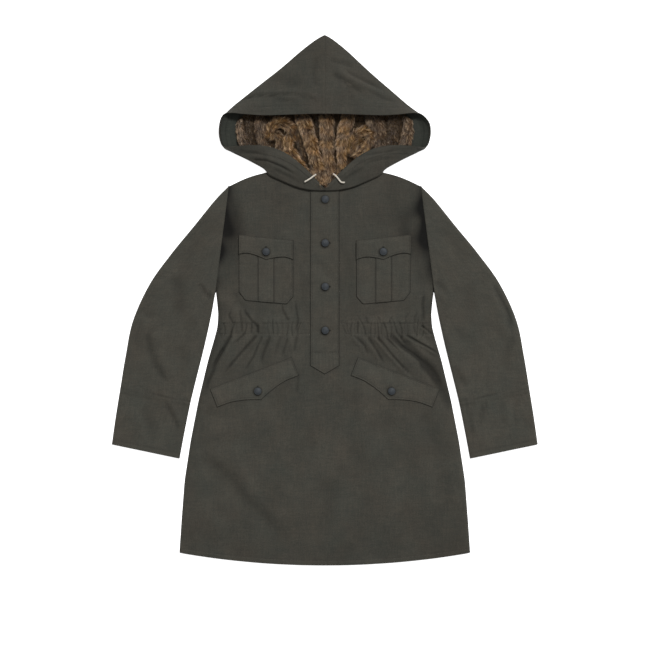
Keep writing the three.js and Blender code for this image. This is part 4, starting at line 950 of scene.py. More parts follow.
def makeChestPocket(word, side):
    p = chestPocket
    wide = p["outerX"] - p["innerX"]
    pleat = np.array([-1.6, -0.8, -0.25, 0.25, 0.8, 1.6])
    steps = edged(wide, [0, 0.5, 1.1, 1.8, 2.8, 3.8, 4.6, 6], 28, 2)
    nearPleat = np.abs(np.abs(steps + p["innerX"] - p["pleatMiddle"]) - p["pleatHalf"]) < 1.9
    lines = [p["pleatMiddle"] + sign * p["pleatHalf"] + pleat - p["innerX"] for sign in (-1, 1)]
    steps = np.sort(np.concatenate([steps[~nearPleat], *lines]))
    if len(steps) % 2 == 0:
        steps = np.sort(np.append(steps, (steps[20] + steps[21]) / 2))
    far = (p["innerX"] + steps)[None, :]
    rise = edged(1, [0, 0.004, 0.009, 0.016, 0.026, 0.034, 0.044], 40, 2)[:, None]
    fromSide = np.minimum(p["outerX"] - far, far - p["innerX"])
    cut = p["chamferY"] * np.clip(1 - fromSide / p["chamferX"], 0, 1)
    bottom = lerp(p["bottomOuterY"], p["bottomInnerY"], (p["outerX"] - far) / wide) + cut
    y = lerp(bottom, chestTop(far) - 7.5, rise)
    far = np.broadcast_to(far, y.shape)
    slant = np.where(fromSide < p["chamferX"], 0.62, 1)
    inside = np.minimum(fromSide, (y - bottom) * slant)
    fromPleat = p["pleatHalf"] - np.abs(far - p["pleatMiddle"])
    relief = stitchedEdge(inside, p["lift"] - 0.1) + p["pleatRise"] * smooth(fromPleat / 0.9 + 0.4)
    sunkSide = smooth((far - p["pleatMiddle"] - 4) / 13) * (fromPleat > 0)
    relief = relief - 0.45 * bump(fromPleat + 0.9, 0.8) - 0.3 * sunkSide
    relief = relief + 0.35 * wander(far * side, y, 40, 63 + side) * smooth(inside / 10)
    # painted shade in the folds of the pleat
    tone = edgeShade(inside) * (1 - 0.52 * bump(fromPleat + 0.5, 1.1))
    made = layPiece("pocket_cloth_" + word, far * side, y, p["lift"], relief, tone, -side,
                    "chest_pocket_" + word)


def flapDepth(flap, share):
    dip = flap.get("depthDip", flap["depthEnd"])
    peak = (flap["depthPoint"] - dip) * np.maximum(0, 1 - share / flap["pointShare"]) ** 1.55
    past = np.clip((share - flap["pointShare"]) / (1 - flap["pointShare"]), 0, 1)
    return dip + peak + (flap["depthEnd"] - dip) * past ** 2


def makeChestFlap(word, side):
    p = chestPocket
    wide = p["outerX"] - p["innerX"] + 1
    steps = edged(wide, laidEdge, 42, 2)[None, :]
    far = p["innerX"] - 0.5 + steps
    share = np.abs(steps / wide * 2 - 1)
    down = edged(1, [0, 0.008, 0.02, 0.034, 0.052, 0.075, 0.095, 0.12], 18, 2)[::-1, None]
    depth = down * flapDepth(chestFlap, share)
    y = chestTop(far) - depth
    far = np.broadcast_to(far, y.shape)
    fromSide = np.minimum(steps, wide - steps)
    toEdge = (1 - down) * flapDepth(chestFlap, share)
    inside = np.minimum(fromSide, toEdge)
    relief = stitchedEdge(inside, chestFlap["lift"] - 0.1)
    relief = relief + chestFlap["climb"] * smooth((depth - 2.5) / 4)
    relief = relief - 0.5 * bump(depth - 3.6, 0.9) + turnedEdge(depth, 1.4, 1.2)
    relief = relief + 0.25 * wander(far * side, y, 34, 66 + side) * smooth(inside / 8)
    # painted shade along the flap's sewn top
    tone = edgeShade(inside) * (1 - 0.5 * bump(depth, 1.2))
    made = layPiece("chest_flap_cloth_" + word, far * side, y, chestFlap["lift"], relief, tone, -side,
                    "chest_flap_" + word)


# a place on the lower flap from its share along (outer -1, inner 1) and its depth down from the
# upper edge, and how long that edge is
def lowerFlapPlace(share, depth):
    f = lowerFlap
    dx, dy = f["innerX"] - f["outerX"], f["innerY"] - f["outerY"]
    long = math.hypot(dx, dy)
    far = f["outerX"] + dx * (share + 1) / 2 - dy / long * depth
    return far, f["outerY"] + dy * (share + 1) / 2 + dx / long * depth, long


def makeLowerFlap(word, side):
    long = lowerFlapPlace(0, 0)[2]
    steps = edged(long, laidEdge, 64, 2)[None, :]
    share = steps / long * 2 - 1
    down = edged(1, [0, 0.007, 0.016, 0.027, 0.042, 0.06, 0.076, 0.095], 24, 2)[::-1, None]
    depth = down * flapDepth(lowerFlap, np.abs(share))
    far, y, _ = lowerFlapPlace(share, depth)
    toEdge = (1 - down) * flapDepth(lowerFlap, np.abs(share))
    inside = np.minimum(np.minimum(steps, long - steps), np.minimum(toEdge, depth + 0.6))
    relief = stitchedEdge(inside, lowerFlap["lift"] - 0.1)
    relief = relief + 0.4 * wander(far * side, y, 44, 70 + side) * smooth(inside / 8)
    relief = relief + 0.9 * smooth((depth - 8) / 30) * smooth(inside / 12)
    # a painted highlight along the raised line near the upper edge
    tone = edgeShade(inside) * (1.05 + 0.12 * bump(inside - 3.4, 1.6) * (depth < 12))
    made = layPiece("lower_flap_cloth_" + word, far * side, y, lowerFlap["lift"], relief, tone, side,
                    "lower_flap_" + word)


makePlacket()
for word, side in (("left", -1), ("right", 1)):
    makeChestPocket(word, side)
    makeChestFlap(word, side)
    makeLowerFlap(word, side)
print("smock: placket, pockets and flaps made")

# painted buttons: a low dome with a sunk rim line, as (share of radius, height)
button = {
    "radius": 8.5, "sides": 48, "sit": 0.2,
    "profile": [
        (0.0, 0.0), (0.72, 0.0), (0.93, 0.7), (1.0, 1.7), (0.98, 2.4), (0.93, 2.75), (0.88, 2.8),
        (0.85, 2.68), (0.81, 2.86), (0.7, 3.35), (0.5, 3.9), (0.25, 4.15), (0.0, 4.2)],
}


def makeButton(node):
    low, high = nodeBox(node)
    middle = (low + high) / 2
    angle = np.linspace(0, 2 * math.pi, button["sides"], endpoint=False)
    rings = button["profile"][1:-1]
    seat = low[2] + button["sit"]
    points = [(middle[0], middle[1], seat)]
    for share, z in rings:
        reach = share * button["radius"]
        points += [(middle[0] + reach * math.cos(a), middle[1] + reach * math.sin(a), seat + z)
                   for a in angle]
    points.append((middle[0], middle[1], seat + button["profile"][-1][1]))
    sides = button["sides"]
    quads = gridFaces(len(rings), sides, True, 1)
    fans = [[0, 1 + (j + 1) % sides, 1 + j] for j in range(sides)]
    last = 1 + (len(rings) - 1) * sides
    fans += [[len(points) - 1, last + j, last + (j + 1) % sides] for j in range(sides)]
    made = makeMesh(node.replace("button", "domed_button"), points, quads, fans)
    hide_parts(node)
    return made


buttons = [makeButton(node) for node in buttonNodes]
print("smock: buttons made")

# fur lining: rolls of the pelt, as line from its top down, half width at its start and end,
# rise, golden share, light, and how far the hair leans out
fur = {
    "rolls": [
        ([(-198, 430), (-198, 394), (-181, 354)], 9, 16, 9, 0.1, 0.85, 0.5),
        ([(-175, 430), (-172, 360)], 12, 11, 4.5, 0.3, 0.45, 0.3),
        ([(-147, 430), (-148, 394), (-138, 354)], 15, 16, 9, 0.2, 0.75, 0.5),
        ([(-127, 372), (-124, 394), (-110, 407), (-92, 408.5), (-78, 397), (-75, 378)],
         10.5, 10, 11.5, 0.7, 1.0, 1.0),
        ([(-114, 384), (-104, 374), (-99, 350)], 10, 10, 10, 0.5, 0.8, 0.8),
        ([(-84, 376), (-84, 351), (-67, 325), (-51, 300)], 11, 12, 13, 0.9, 1.15, 0.7),
        ([(-70, 400), (-60, 366), (-50, 330)], 8, 8, 9, 0.6, 0.5, 0.4),
        ([(-53, 432), (-39, 386), (-29, 351), (-19, 320), (-10, 300)], 19.5, 12, 13.5, 0.75, 1.05, 0.6),
        ([(-22, 432), (-14, 396)], 9, 3, 4, 0.1, 0.4, 0.3),
        ([(5, 432), (5, 384), (5.5, 351), (12, 304)], 19.5, 11.5, 12.5, 0.5, 1.0, 0.6),
        ([(56, 432), (45.5, 393), (39, 358), (40.5, 310)], 19, 8.5, 13, 0.65, 1.05, 0.6),
        ([(54, 336), (60, 364), (71, 381.5), (88, 389), (103, 381.5), (104, 364), (90, 346), (74, 333)],
         9, 10, 12, 0.8, 0.9, 1.0),
        ([(68, 330), (73, 352), (84, 366), (93, 360), (91, 344)], 6.5, 6, 9.5, 0.7, 0.8, 0.6),
        ([(108, 432), (124, 390), (127, 352)], 27, 17, 9, 0.2, 0.72, 0.5),
        ([(158, 432), (156, 356)], 19, 17, 5.5, 0.35, 0.48, 0.3),
        ([(189, 432), (192, 394), (184, 354)], 11, 16, 9, 0.2, 0.85, 0.5),
        ([(-14, 304), (-4, 262)], 24, 20, 11, 0.5, 1.05, 0.6),
        ([(22, 302), (6, 268)], 20, 12, 10, 0.5, 0.85, 0.6)],
    "half": 201, "valley": 7, "deep": 485, "tip": 263, "throat": 20, "underLip": 13, "roof": 3.2,
    "columns": 241, "rows": 79, "skin": 2.2,
    # the hood's upper layer over it, from the mouth's upper edge to the hood's outline
    "mouthTop": 427, "outlineY": 608, "outlineSlope": 0.8,
    "roofAtMouth": 35, "roofSlope": 0.03, "roofAtOutline": 7,
    "throatY": 330, "throatRun": 50, "throatHeight": 15.5, "throatShare": 0.25,
    "backY": 596, "backSlope": 0.9, "coverEnd": 446, "coverRun": 12,
    "lowUnder": 12.2, "highUnder": 4.6,  # the skin's underside below and above the front's neckline
    "sink": 2.4,  # the skin lies this far under the solid's own surface
    # painted shade where two rolls meet
    "crease": 0.94,  # how dark the hair is where two rolls meet
}


# the lower lip of the hood, seen from above
def lipY(x):
    rows = np.array(hood["stations"][hood["lipFrom"]:])[::-1]
    return np.interp(np.abs(x), rows[:, 0], rows[:, 1])


# each roll's rounded profile at a place, 1 along its top and 0 at its foot, with how far out
# to the side the place is
def rollProfiles(x, y):
    for line, halfStart, halfEnd, *traits in fur["rolls"]:
        far, share, heading = nearLine(x, y, line)
        side = np.clip(far / lerp(halfStart, halfEnd, share), -1, 1)
        yield np.sqrt(1 - side**2), side, heading, traits


def furHeight(x, y):
    height = np.zeros(np.shape(x))
    for profile, _, _, (rise, *_) in rollProfiles(x, y):
        height = np.maximum(height, rise * profile)
    throat = smooth((fur["throatY"] - y) / fur["throatRun"])
    outline = fur["outlineY"] - np.abs(x) * fur["outlineSlope"]
    back = np.clip((y - fur["mouthTop"]) / (outline - fur["mouthTop"]), 0, 1)
    roof = lerp(fur["roofAtMouth"] - np.abs(x) * fur["roofSlope"], fur["roofAtOutline"], back) - fur["roof"]
    roof = np.where(y < fur["mouthTop"], np.inf, roof)
    atThroat = fur["throatHeight"] + fur["throatShare"] * height
    return np.minimum(lerp(fur["valley"] + height, atThroat, throat), roof)


# which way the hair lies, how lit and how golden it is
def furGrain(x, y):
    best = np.full(np.shape(x), 0.01)
    second = np.zeros(np.shape(x))
    top = np.zeros(np.shape(x))
    comb = np.zeros(np.shape(x) + (3,))
    comb[..., 1] = -1
    light = np.full(np.shape(x), 0.1)
    golden = np.zeros(np.shape(x))
    for profile, side, heading, (rise, gold, lit, lean) in rollProfiles(x, y):
        height = profile * rise
        out = 1.3 * side * lean * smooth((1 - np.abs(side)) / 0.45)
        flow = np.stack([heading[0] - out * heading[1], heading[1] + out * heading[0],
                         np.full(np.shape(x), 0.22)], -1)
        higher = height > best
        second = np.where(higher, best, np.maximum(second, height))
        top = np.where(higher, profile, top)
        comb = np.where(higher[..., None], flow, comb)
        golden = np.where(higher, gold * smooth(profile * 2.8 - 1.6), golden)
        # painted shade towards each roll's foot
        light = np.where(higher, lit * lerp(0.08, 1, smooth((profile - 0.15) / 0.6)), light)
        best = np.maximum(best, height)
    light = light * (1 - fur["crease"] * bump(best - second, 5.5) * smooth((0.93 - top) / 0.25))
    comb[..., 0] += 0.2 * wander(x, y, 22, 81)
    comb[..., 1] += 0.2 * wander(x, y, 19, 82)
    golden = np.clip(golden * (1.15 + 0.7 * wander(x, y, 30, 84)), 0, 1)
    light = light * (1 + 0.16 * wander(x, y, 24, 85))
    # painted shade under the hood's upper lip
    light *= 1 - 0.5 * smooth((y - 414) / 16)
    return comb / np.linalg.norm(comb, axis=2, keepdims=True), np.clip(light, 0.03, 1.3), golden


def makeFurSkin():
    u, t = np.meshgrid(np.linspace(0, 1, fur["columns"]), np.linspace(0, 1, fur["rows"]))
    x = lerp(-fur["half"], fur["half"], u)
    far = np.abs(x)
    tucked = fur["underLip"] * smooth((far - 20) / 30) * smooth((185 - far) / 40)
    throat = fur["throat"]
    atThroat = lerp(fur["tip"], lipY(float(throat)) - 4, far / throat)
    atLip = lipY(x) - tucked - 4 + 10 * smooth((far - 150) / 40)
    low = np.where(far < throat, atThroat, atLip)
    high = np.minimum(fur["deep"], fur["backY"] - far * fur["backSlope"])
    y = lerp(low, high, t)
    fromEnds, fromSides = np.minimum(t, 1 - t) * 6, np.minimum(u, 1 - u) * fur["columns"] / 14
    border = np.minimum(1, np.minimum(fromEnds, fromSides))
    top = furHeight(x, y) - fur["sink"] + 0.5 * wander(x, y, 14, 83)
    neckline = topEdge(np.minimum(far, body["neckHalf"]), body["frontNeckY"])
    bottom = lerp(fur["lowUnder"], fur["highUnder"], smooth((y - neckline - 8) / 22))
    z = np.maximum(lerp(bottom + 1, np.maximum(top, bottom + 1), np.sqrt(border)), bottom)
    grid = np.stack([x, y, z], -1)
    made = makeWall("fur_skin", grid, fur["skin"], -1, floor=2.6)
    lipClear = lerp(-4, 6, smooth(far / 25))
    showing = smooth((fur["coverEnd"] - y) / fur["coverRun"]) * smooth((y - low + lipClear) / 8)
    count = grid.shape[0] * grid.shape[1]
    pad = len(made.data.vertices) - count
    comb, light, golden = furGrain(x, y)
    kept = made.data.attributes.new("comb", "FLOAT_VECTOR", "POINT")
    kept.data.foreach_set("vector", np.concatenate([comb.reshape(-1, 3), np.zeros((pad, 3))]).ravel())
    showing *= lerp(0.45, 1, np.minimum(light, 1))
    for key, field in (("cover", showing), ("light", light), ("golden", golden)):
        kept = made.data.attributes.new(key, "FLOAT", "POINT")
        kept.data.foreach_set("value", np.concatenate([field.ravel(), np.zeros(pad)]))
    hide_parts("hood_fur")
    return made


furSkin = makeFurSkin()


# a node with its inputs and settings; an input's value may be another node's socket
def addNode(tree, kind, inputs=None, **settings):
    made = tree.nodes.new(kind)
    for key, value in settings.items():
        setattr(made, key, value)
    for key, value in (inputs or {}).items():
        if isinstance(value, bpy.types.NodeSocket):
            tree.links.new(value, made.inputs[key])
        else:
            made.inputs[key].default_value = value
    return made


def newTree(name, kind, inputs, outputs):
    tree = bpy.data.node_groups.new(name, kind)
    for label, socket, value in inputs:
        made = tree.interface.new_socket(label, in_out="INPUT", socket_type=socket)
        if value is not None:
            made.default_value = value
    for label, socket in outputs:
        tree.interface.new_socket(label, in_out="OUTPUT", socket_type=socket)
    return tree, tree.nodes.new("NodeGroupInput").outputs, tree.nodes.new("NodeGroupOutput")


# The nodes used most, each giving its result's socket. The limits of a remap are from low, from high,
# to low and to high.
def calc(tree, operation, *values):
    return addNode(tree, "ShaderNodeMath", dict(enumerate(values)), operation=operation).outputs[0]


def remap(tree, value, *limits):
    return addNode(tree, "ShaderNodeMapRange", dict(enumerate((value, *limits)))).outputs[0]


def noise(tree, vector, scale, detail, roughness=0.5):
    inputs = {"Vector": vector, "Scale": scale, "Detail": detail, "Roughness": roughness}
    return addNode(tree, "ShaderNodeTexNoise", inputs).outputs["Fac"]


def scaled(tree, vector, by):
    return addNode(tree, "ShaderNodeVectorMath", {0: vector, "Scale": by}, operation="SCALE").outputs[0]


def stored(tree, name, kind="FLOAT"):
    return addNode(tree, "GeometryNodeInputNamedAttribute", {"Name": name}, data_type=kind).outputs[0]


# runs a Geometry Nodes tree on a mesh and returns the result as a plain piece
def runTree(tree, source, name, values):
    modifier = source.modifiers.new("grow", "NODES")
    modifier.node_group = tree
    for item in tree.interface.items_tree:
        if item.in_out == "INPUT" and item.name in values:
            modifier[item.identifier] = values[item.name]
    done = source.evaluated_get(bpy.context.evaluated_depsgraph_get())
    mesh = bpy.data.meshes.new_from_object(done)
    source.modifiers.remove(modifier)
    mesh.name = name
    if mesh.materials and mesh.materials[0] is None:
        mesh.materials.pop(index=0)
    made = addObject(name, mesh)
    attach(made, "root")
    return made


# ends a tree of instances: made real, given the material and put out
def finishTree(tree, given, out, instances):
    real = addNode(tree, "GeometryNodeRealizeInstances", {"Geometry": instances.outputs[0]})
    final = addNode(tree, "GeometryNodeSetMaterial", {
        "Geometry": real.outputs[0], "Material": given["Material"]})
    tree.links.new(final.outputs[0], out.inputs[0])
    return tree


# hair: tapered bent strands scattered over a skin, combed along its "comb" attribute
def hairTree():
    tree, given, out = newTree("hair", "GeometryNodeTree", [
        ("Geometry", "NodeSocketGeometry", None), ("Density", "NodeSocketFloat", 1e5),
        ("Length", "NodeSocketFloat", 0.012), ("Radius", "NodeSocketFloat", 0.0004),
        ("From", "NodeSocketFloat", -1.0), ("To", "NodeSocketFloat", 1.0),
        ("Seed", "NodeSocketInt", 1), ("Material", "NodeSocketMaterial", None)],
        [("Geometry", "NodeSocketGeometry")])
    place = addNode(tree, "GeometryNodeInputPosition").outputs[0]
    placeX = addNode(tree, "ShaderNodeSeparateXYZ", {0: place}).outputs["X"]
    sides = [addNode(tree, "FunctionNodeCompare", {0: placeX, 1: given[key]}, operation=test).outputs[0]
             for key, test in (("From", "GREATER_THAN"), ("To", "LESS_EQUAL"))]
    both = addNode(tree, "FunctionNodeBooleanMath", dict(enumerate(sides)))
    spread = addNode(tree, "GeometryNodeDistributePointsOnFaces", {
        "Mesh": given["Geometry"], "Selection": both.outputs[0], "Seed": given["Seed"],
        "Density": calc(tree, "MULTIPLY", stored(tree, "cover"), given["Density"])})
    # strand: a bent line along X, thinning to its tip
    bend = addNode(tree, "GeometryNodeCurveQuadraticBezier", {
        "Resolution": 2, "Start": (0, 0, -0.04), "Middle": (0.45, 0, 0.3), "End": (1, 0, 0.12)})
    along = addNode(tree, "GeometryNodeSplineParameter").outputs["Factor"]
    marked = addNode(tree, "GeometryNodeStoreNamedAttribute", {
        "Geometry": bend.outputs[0], "Name": "along", "Value": along}, data_type="FLOAT", domain="POINT")
    longer = addNode(tree, "ShaderNodeCombineXYZ", {k: given["Length"] for k in range(3)})
    sized = addNode(tree, "GeometryNodeTransform", {
        "Geometry": marked.outputs[0], "Scale": longer.outputs[0]})
    profile = addNode(tree, "GeometryNodeCurvePrimitiveCircle", {
        "Resolution": 3, "Radius": given["Radius"]})
    strand = addNode(tree, "GeometryNodeCurveToMesh", {
        "Curve": sized.outputs[0], "Profile Curve": profile.outputs[0], "Fill Caps": True,
        "Scale": calc(tree, "SUBTRACT", 1.06, calc(tree, "POWER", along, 1.7))})
    stray = addNode(tree, "FunctionNodeRandomValue", {
        "Min": (-0.17, -0.17, -0.05), "Max": (0.17, 0.17, 0.2), "Seed": given["Seed"]},
        data_type="FLOAT_VECTOR")
    flow = addNode(tree, "ShaderNodeVectorMath", {
        0: stored(tree, "comb", "FLOAT_VECTOR"), 1: stray.outputs[0]}, operation="ADD")
    upright = addNode(tree, "FunctionNodeAlignRotationToVector", {
        "Vector": spread.outputs["Normal"]}, axis="Z")
    turned = addNode(tree, "FunctionNodeAlignRotationToVector", {
        "Rotation": upright.outputs[0], "Vector": flow.outputs[0]}, axis="X")
    # hair in the dark between rolls is shorter
    size = addNode(tree, "FunctionNodeRandomValue", {2: 0.6, 3: 1.25, "Seed": 5}, data_type="FLOAT")
    shorter = remap(tree, stored(tree, "light"), 0.1, 0.8, 0.3, 1.0)
    placed = addNode(tree, "GeometryNodeInstanceOnPoints", {
        "Points": spread.outputs["Points"], "Instance": strand.outputs[0],
        "Rotation": turned.outputs[0], "Scale": calc(tree, "MULTIPLY", size.outputs[1], shorter)})
    # strands that grow close together share their shade, as locks do
    shade = addNode(tree, "FunctionNodeRandomValue", {2: -0.3, 3: 0.3, "Seed": 9}, data_type="FLOAT")
    lock = remap(tree, noise(tree, place, 300.0, 1.0), 0.3, 0.7, 0.1, 0.9)
    coloured = addNode(tree, "GeometryNodeStoreNamedAttribute", {
        "Geometry": placed.outputs[0], "Name": "strand",
        "Value": calc(tree, "ADD", lock, shade.outputs[1])}, data_type="FLOAT", domain="INSTANCE")
    return finishTree(tree, given, out, coloured)


# sewing: short raised stitches laid end to end along lines
def sewingTree():
    tree, given, out = newTree("sewing", "GeometryNodeTree", [
        ("Geometry", "NodeSocketGeometry", None), ("Pitch", "NodeSocketFloat", 0.003),
        ("Stitch Length", "NodeSocketFloat", 0.0022), ("Thread Radius", "NodeSocketFloat", 0.00035),
        ("Material", "NodeSocketMaterial", None)], [("Geometry", "NodeSocketGeometry")])
    lines = addNode(tree, "GeometryNodeMeshToCurve", {"Mesh": given["Geometry"]})
    spaced = addNode(tree, "GeometryNodeResampleCurve", {
        "Curve": lines.outputs[0], "Length": given["Pitch"]}, mode="LENGTH")
    ball = addNode(tree, "GeometryNodeMeshUVSphere", {"Segments": 5, "Rings": 4, "Radius": 0.5})
    double = calc(tree, "MULTIPLY", given["Thread Radius"], 2.0)
    size = addNode(tree, "ShaderNodeCombineXYZ", {0: given["Stitch Length"], 1: double, 2: double})
    stitch = addNode(tree, "GeometryNodeTransform", {
        "Geometry": ball.outputs[0], "Scale": size.outputs[0]})
    tangent = addNode(tree, "GeometryNodeInputTangent")
    turned = addNode(tree, "FunctionNodeAlignRotationToVector", {
        "Vector": tangent.outputs[0]}, axis="X")
    placed = addNode(tree, "GeometryNodeInstanceOnPoints", {
        "Points": spaced.outputs[0], "Instance": stitch.outputs[0], "Rotation": turned.outputs[0]})
    return finishTree(tree, given, out, placed)


# places every step along a bent line
def stepsAlong(line, step):
    places = []
    for a, b in zip(line[:-1], line[1:]):
        count = max(1, round(math.dist(a, b) / step))
        places += [(lerp(a[0], b[0], k / count), lerp(a[1], b[1], k / count)) for k in range(count)]
    return np.array(places + [line[-1]], float)


threadLift = 0.1


def onFront(line, lift=0.0, step=3.0):
    p = stepsAlong(line, step)
    return np.column_stack([p, frontHeight(p[:, 0], p[:, 1]) + lift + threadLift])


# rows of topstitching on the front and on what lies on it, as lines of points
def sewingLines():
    lines = []
    inner = placket["half"] - placket["stitch"]
    groove = laid["groove"]
    top, low, box = placket["top"] - 3, placket["shoulder"] + 2, placket["boxTop"]
    tip = placket["point"] + 5.4
    for line in ([(-inner, top), (-inner, low)], [(inner, top), (inner, low)],
                 [(-inner, low), (0, tip), (inner, low)]):
        lines.append(onFront(line, placket["lift"] - groove))
    lines.append(onFront([(-inner, box), (inner, box)], placket["lift"] - 0.4))
    for side in (-1, 1):
        for row in (body["waistTop"], body["waistBottom"]):
            end = float(halfWidth(row)) - 3
            lines.append(onFront([(side * 36, row), (side * end, row)], 0, 1.5))
        p, s = chestPocket, laid["stitch"]
        top = chestTop(p["outerX"] - s) - 30
        cutIn = 0.45 * s
        corners = [(p["outerX"] - s, top), (p["outerX"] - s, p["bottomOuterY"] + p["chamferY"] + cutIn),
                   (p["outerX"] - p["chamferX"] - cutIn, p["bottomOuterY"] - 1.3 + s),
                   (p["innerX"] + p["chamferX"] + cutIn, p["bottomInnerY"] + 1.3 + s),
                   (p["innerX"] + s, p["bottomInnerY"] + p["chamferY"] + cutIn), (p["innerX"] + s, top)]
        lines.append(onFront([(side * far, y) for far, y in corners], p["lift"] - groove))
        far = np.linspace(p["innerX"] + s, p["outerX"] - s, 44)
        share = np.abs((far - p["innerX"]) / (p["outerX"] - p["innerX"]) * 2 - 1)
        for down, rise in ((flapDepth(chestFlap, share) - s, chestFlap["climb"] - groove), (3.6, 0.4)):
            y = chestTop(far) - down
            z = frontHeight(far * side, y) + chestFlap["lift"] + rise + threadLift
            lines.append(np.column_stack([far * side, y, z]))
        share = np.linspace(-1, 1, 70)
        along = np.clip(share, -0.955, 0.955)
        depth = flapDepth(lowerFlap, np.abs(along)) - s
        for downBy in (depth, np.full(70, s - 0.4)):
            far, y, _ = lowerFlapPlace(along, downBy)
            swell = 0.9 * smooth((downBy - 8) / 30) * smooth(s / 12)
            z = frontHeight(far * side, y) + lowerFlap["lift"] - groove + swell + threadLift
            lines.append(np.column_stack([far * side, y, z]))
    x = np.linspace(-326, 326, 220)
    y = body["hemY"] + body["hemFold"] + 1 - body["hemSag"] * (1 - (x / 334.4) ** 2)
    lines.append(np.column_stack([x, y, frontHeight(x, y) + threadLift]))
    return lines


# the drawcord tunnel's row of stitching on each hood half, read off its own finished mesh
def hoodSewing():
    at = np.argmin(np.abs(hoodRun - hood["band"] - 0.6), 1)
    rows = np.arange(3, len(hoodRows) - 3)
    picks = [int(k) for k in rows * hoodGrid.shape[1] + at[rows]]
    return [np.array([np.array(half.data.vertices[k].co) / mm + (0, 0, threadLift) for k in picks])
            for half in hoodHalves]


def makeLineMesh(name, lines):
    points = np.concatenate(lines)
    starts = np.cumsum([0] + [len(line) for line in lines[:-1]])
    edges = [(s + k, s + k + 1) for s, line in zip(starts, lines) for k in range(len(line) - 1)]
    mesh = bpy.data.meshes.new(name)
    mesh.from_pydata((points * mm).tolist(), [], [])
    mesh.edges.add(len(edges))
    mesh.edges.foreach_set("vertices", np.array(edges).ravel())
    return addObject(name, mesh)


# Materials. The weave group serves every cloth: plain weave, slubs in the thread, and soft mottling.
def weaveGroup():
    tree, given, out = newTree("weave", "ShaderNodeTree", [
        ("Vector", "NodeSocketVector", None), ("Threads", "NodeSocketFloat", 1500.0),
        ("Slub", "NodeSocketFloat", 0.5)],
        [("Height", "NodeSocketFloat"), ("Grain", "NodeSocketFloat"), ("Mottle", "NodeSocketFloat"),
         ("Streaks", "NodeSocketFloat")])
    turns = scaled(tree, given["Vector"], calc(tree, "MULTIPLY", given["Threads"], math.pi))
    parts = addNode(tree, "ShaderNodeSeparateXYZ", {0: turns}).outputs
    crossed = calc(tree, "MULTIPLY", *(calc(tree, "SINE", parts[k]) for k in (0, 1)))

    # noise drawn out along the cloth's two directions, added up and halved
    def drawnOut(scales, detail, roughness):
        layers = [noise(tree, addNode(tree, "ShaderNodeMapping", {
            "Vector": given["Vector"], "Scale": scale}).outputs[0], 1.0, detail, roughness)
            for scale in scales]
        return calc(tree, "MULTIPLY", calc(tree, "ADD", *layers), 0.5)

    grain = drawnOut(((60, 900, 60), (900, 60, 60)), 2.0, 0.5)
    streaks = drawnOut(((26, 190, 26), (240, 22, 26)), 4.0, 0.6)
    height = calc(tree, "MULTIPLY_ADD", grain, given["Slub"], calc(tree, "MULTIPLY", crossed, 0.35))
    mottle = noise(tree, given["Vector"], 34.0, 6.0, 0.62)
    for key, socket in (("Height", height), ("Grain", grain), ("Mottle", mottle), ("Streaks", streaks)):
        tree.links.new(socket, out.inputs[key])
    return tree


weave = weaveGroup()


def mixColour(tree, factor, a, b):
    return addNode(tree, "ShaderNodeMix", {0: factor, 6: a, 7: b}, data_type="RGBA").outputs[2]


def ramp(tree, factor, stops):
    made = addNode(tree, "ShaderNodeValToRGB", {0: factor})
    made.color_ramp.interpolation = "EASE"
    while len(made.color_ramp.elements) < len(stops):
        made.color_ramp.elements.new(0.5)
    for element, (place, colour) in zip(made.color_ramp.elements, stops):
        element.position = place
        element.color = (*colour, 1)
    return made.outputs[0]


def bumpNode(tree, strength, distance, height, **over):
    inputs = {"Strength": strength, "Distance": distance, "Height": height, **over}
    return addNode(tree, "ShaderNodeBump", inputs).outputs[0]


def objectPlace(tree):
    return addNode(tree, "ShaderNodeTexCoord").outputs["Object"]


def cutPlace(tree):
    return addNode(tree, "ShaderNodeUVMap", uv_map="cut").outputs[0]


def painted(tree, name):
    return addNode(tree, "ShaderNodeAttribute", attribute_name=name).outputs["Fac"]


def newMaterial(name, constants):
    material = bpy.data.materials.new(name)
    material.use_nodes = True
    tree = material.node_tree
    shader = tree.nodes["Principled BSDF"]
    for key, value in constants.items():
        shader.inputs[key].default_value = value
    return material, tree, shader


def dress(tree, shader, colour, normal):
    tree.links.new(colour, shader.inputs["Base Color"])
    tree.links.new(normal, shader.inputs["Normal"])


# woven cloth: two dye shades mottled together, darkened by the painted shade of seams, edges and creases
# and the random mottling that each piece carries
def clothMaterial(name, brown, green, threads, constants):
    material, tree, shader = newMaterial(name, constants)
    place = objectPlace(tree)
    woven = addNode(tree, "ShaderNodeGroup", node_tree=weave)
    tree.links.new(cutPlace(tree), woven.inputs["Vector"])
    woven.inputs["Threads"].default_value = threads
    woven.inputs["Slub"].default_value = 0.6
    height, grain, mottle, streaks = woven.outputs[:4]
    patchy = calc(tree, "ADD", noise(tree, place, 11.0, 3.0, 0.55), streaks)
    dyed = mixColour(tree, remap(tree, patchy, 0.7, 1.3, 0.0, 1.0), (*green, 1), (*brown, 1))
    fleck = calc(tree, "ADD", grain, noise(tree, place, 420.0, 2.0))
    light = remap(tree, fleck, 0.7, 1.3, 0.8, 1.2)
    fade = remap(tree, calc(tree, "ADD", mottle, streaks), 0.76, 1.24, 0.86, 1.14)
    shade = calc(tree, "MULTIPLY", painted(tree, "tone"), calc(tree, "MULTIPLY", fade, light))
    tree.links.new(remap(tree, mottle, 0.3, 0.7, 0.78, 0.92), shader.inputs["Roughness"])
    soft = bumpNode(tree, 0.5, 0.0009, mottle)
    dress(tree, shader, scaled(tree, dyed, shade), bumpNode(tree, 0.5, 0.0002, height, Normal=soft))
    return material


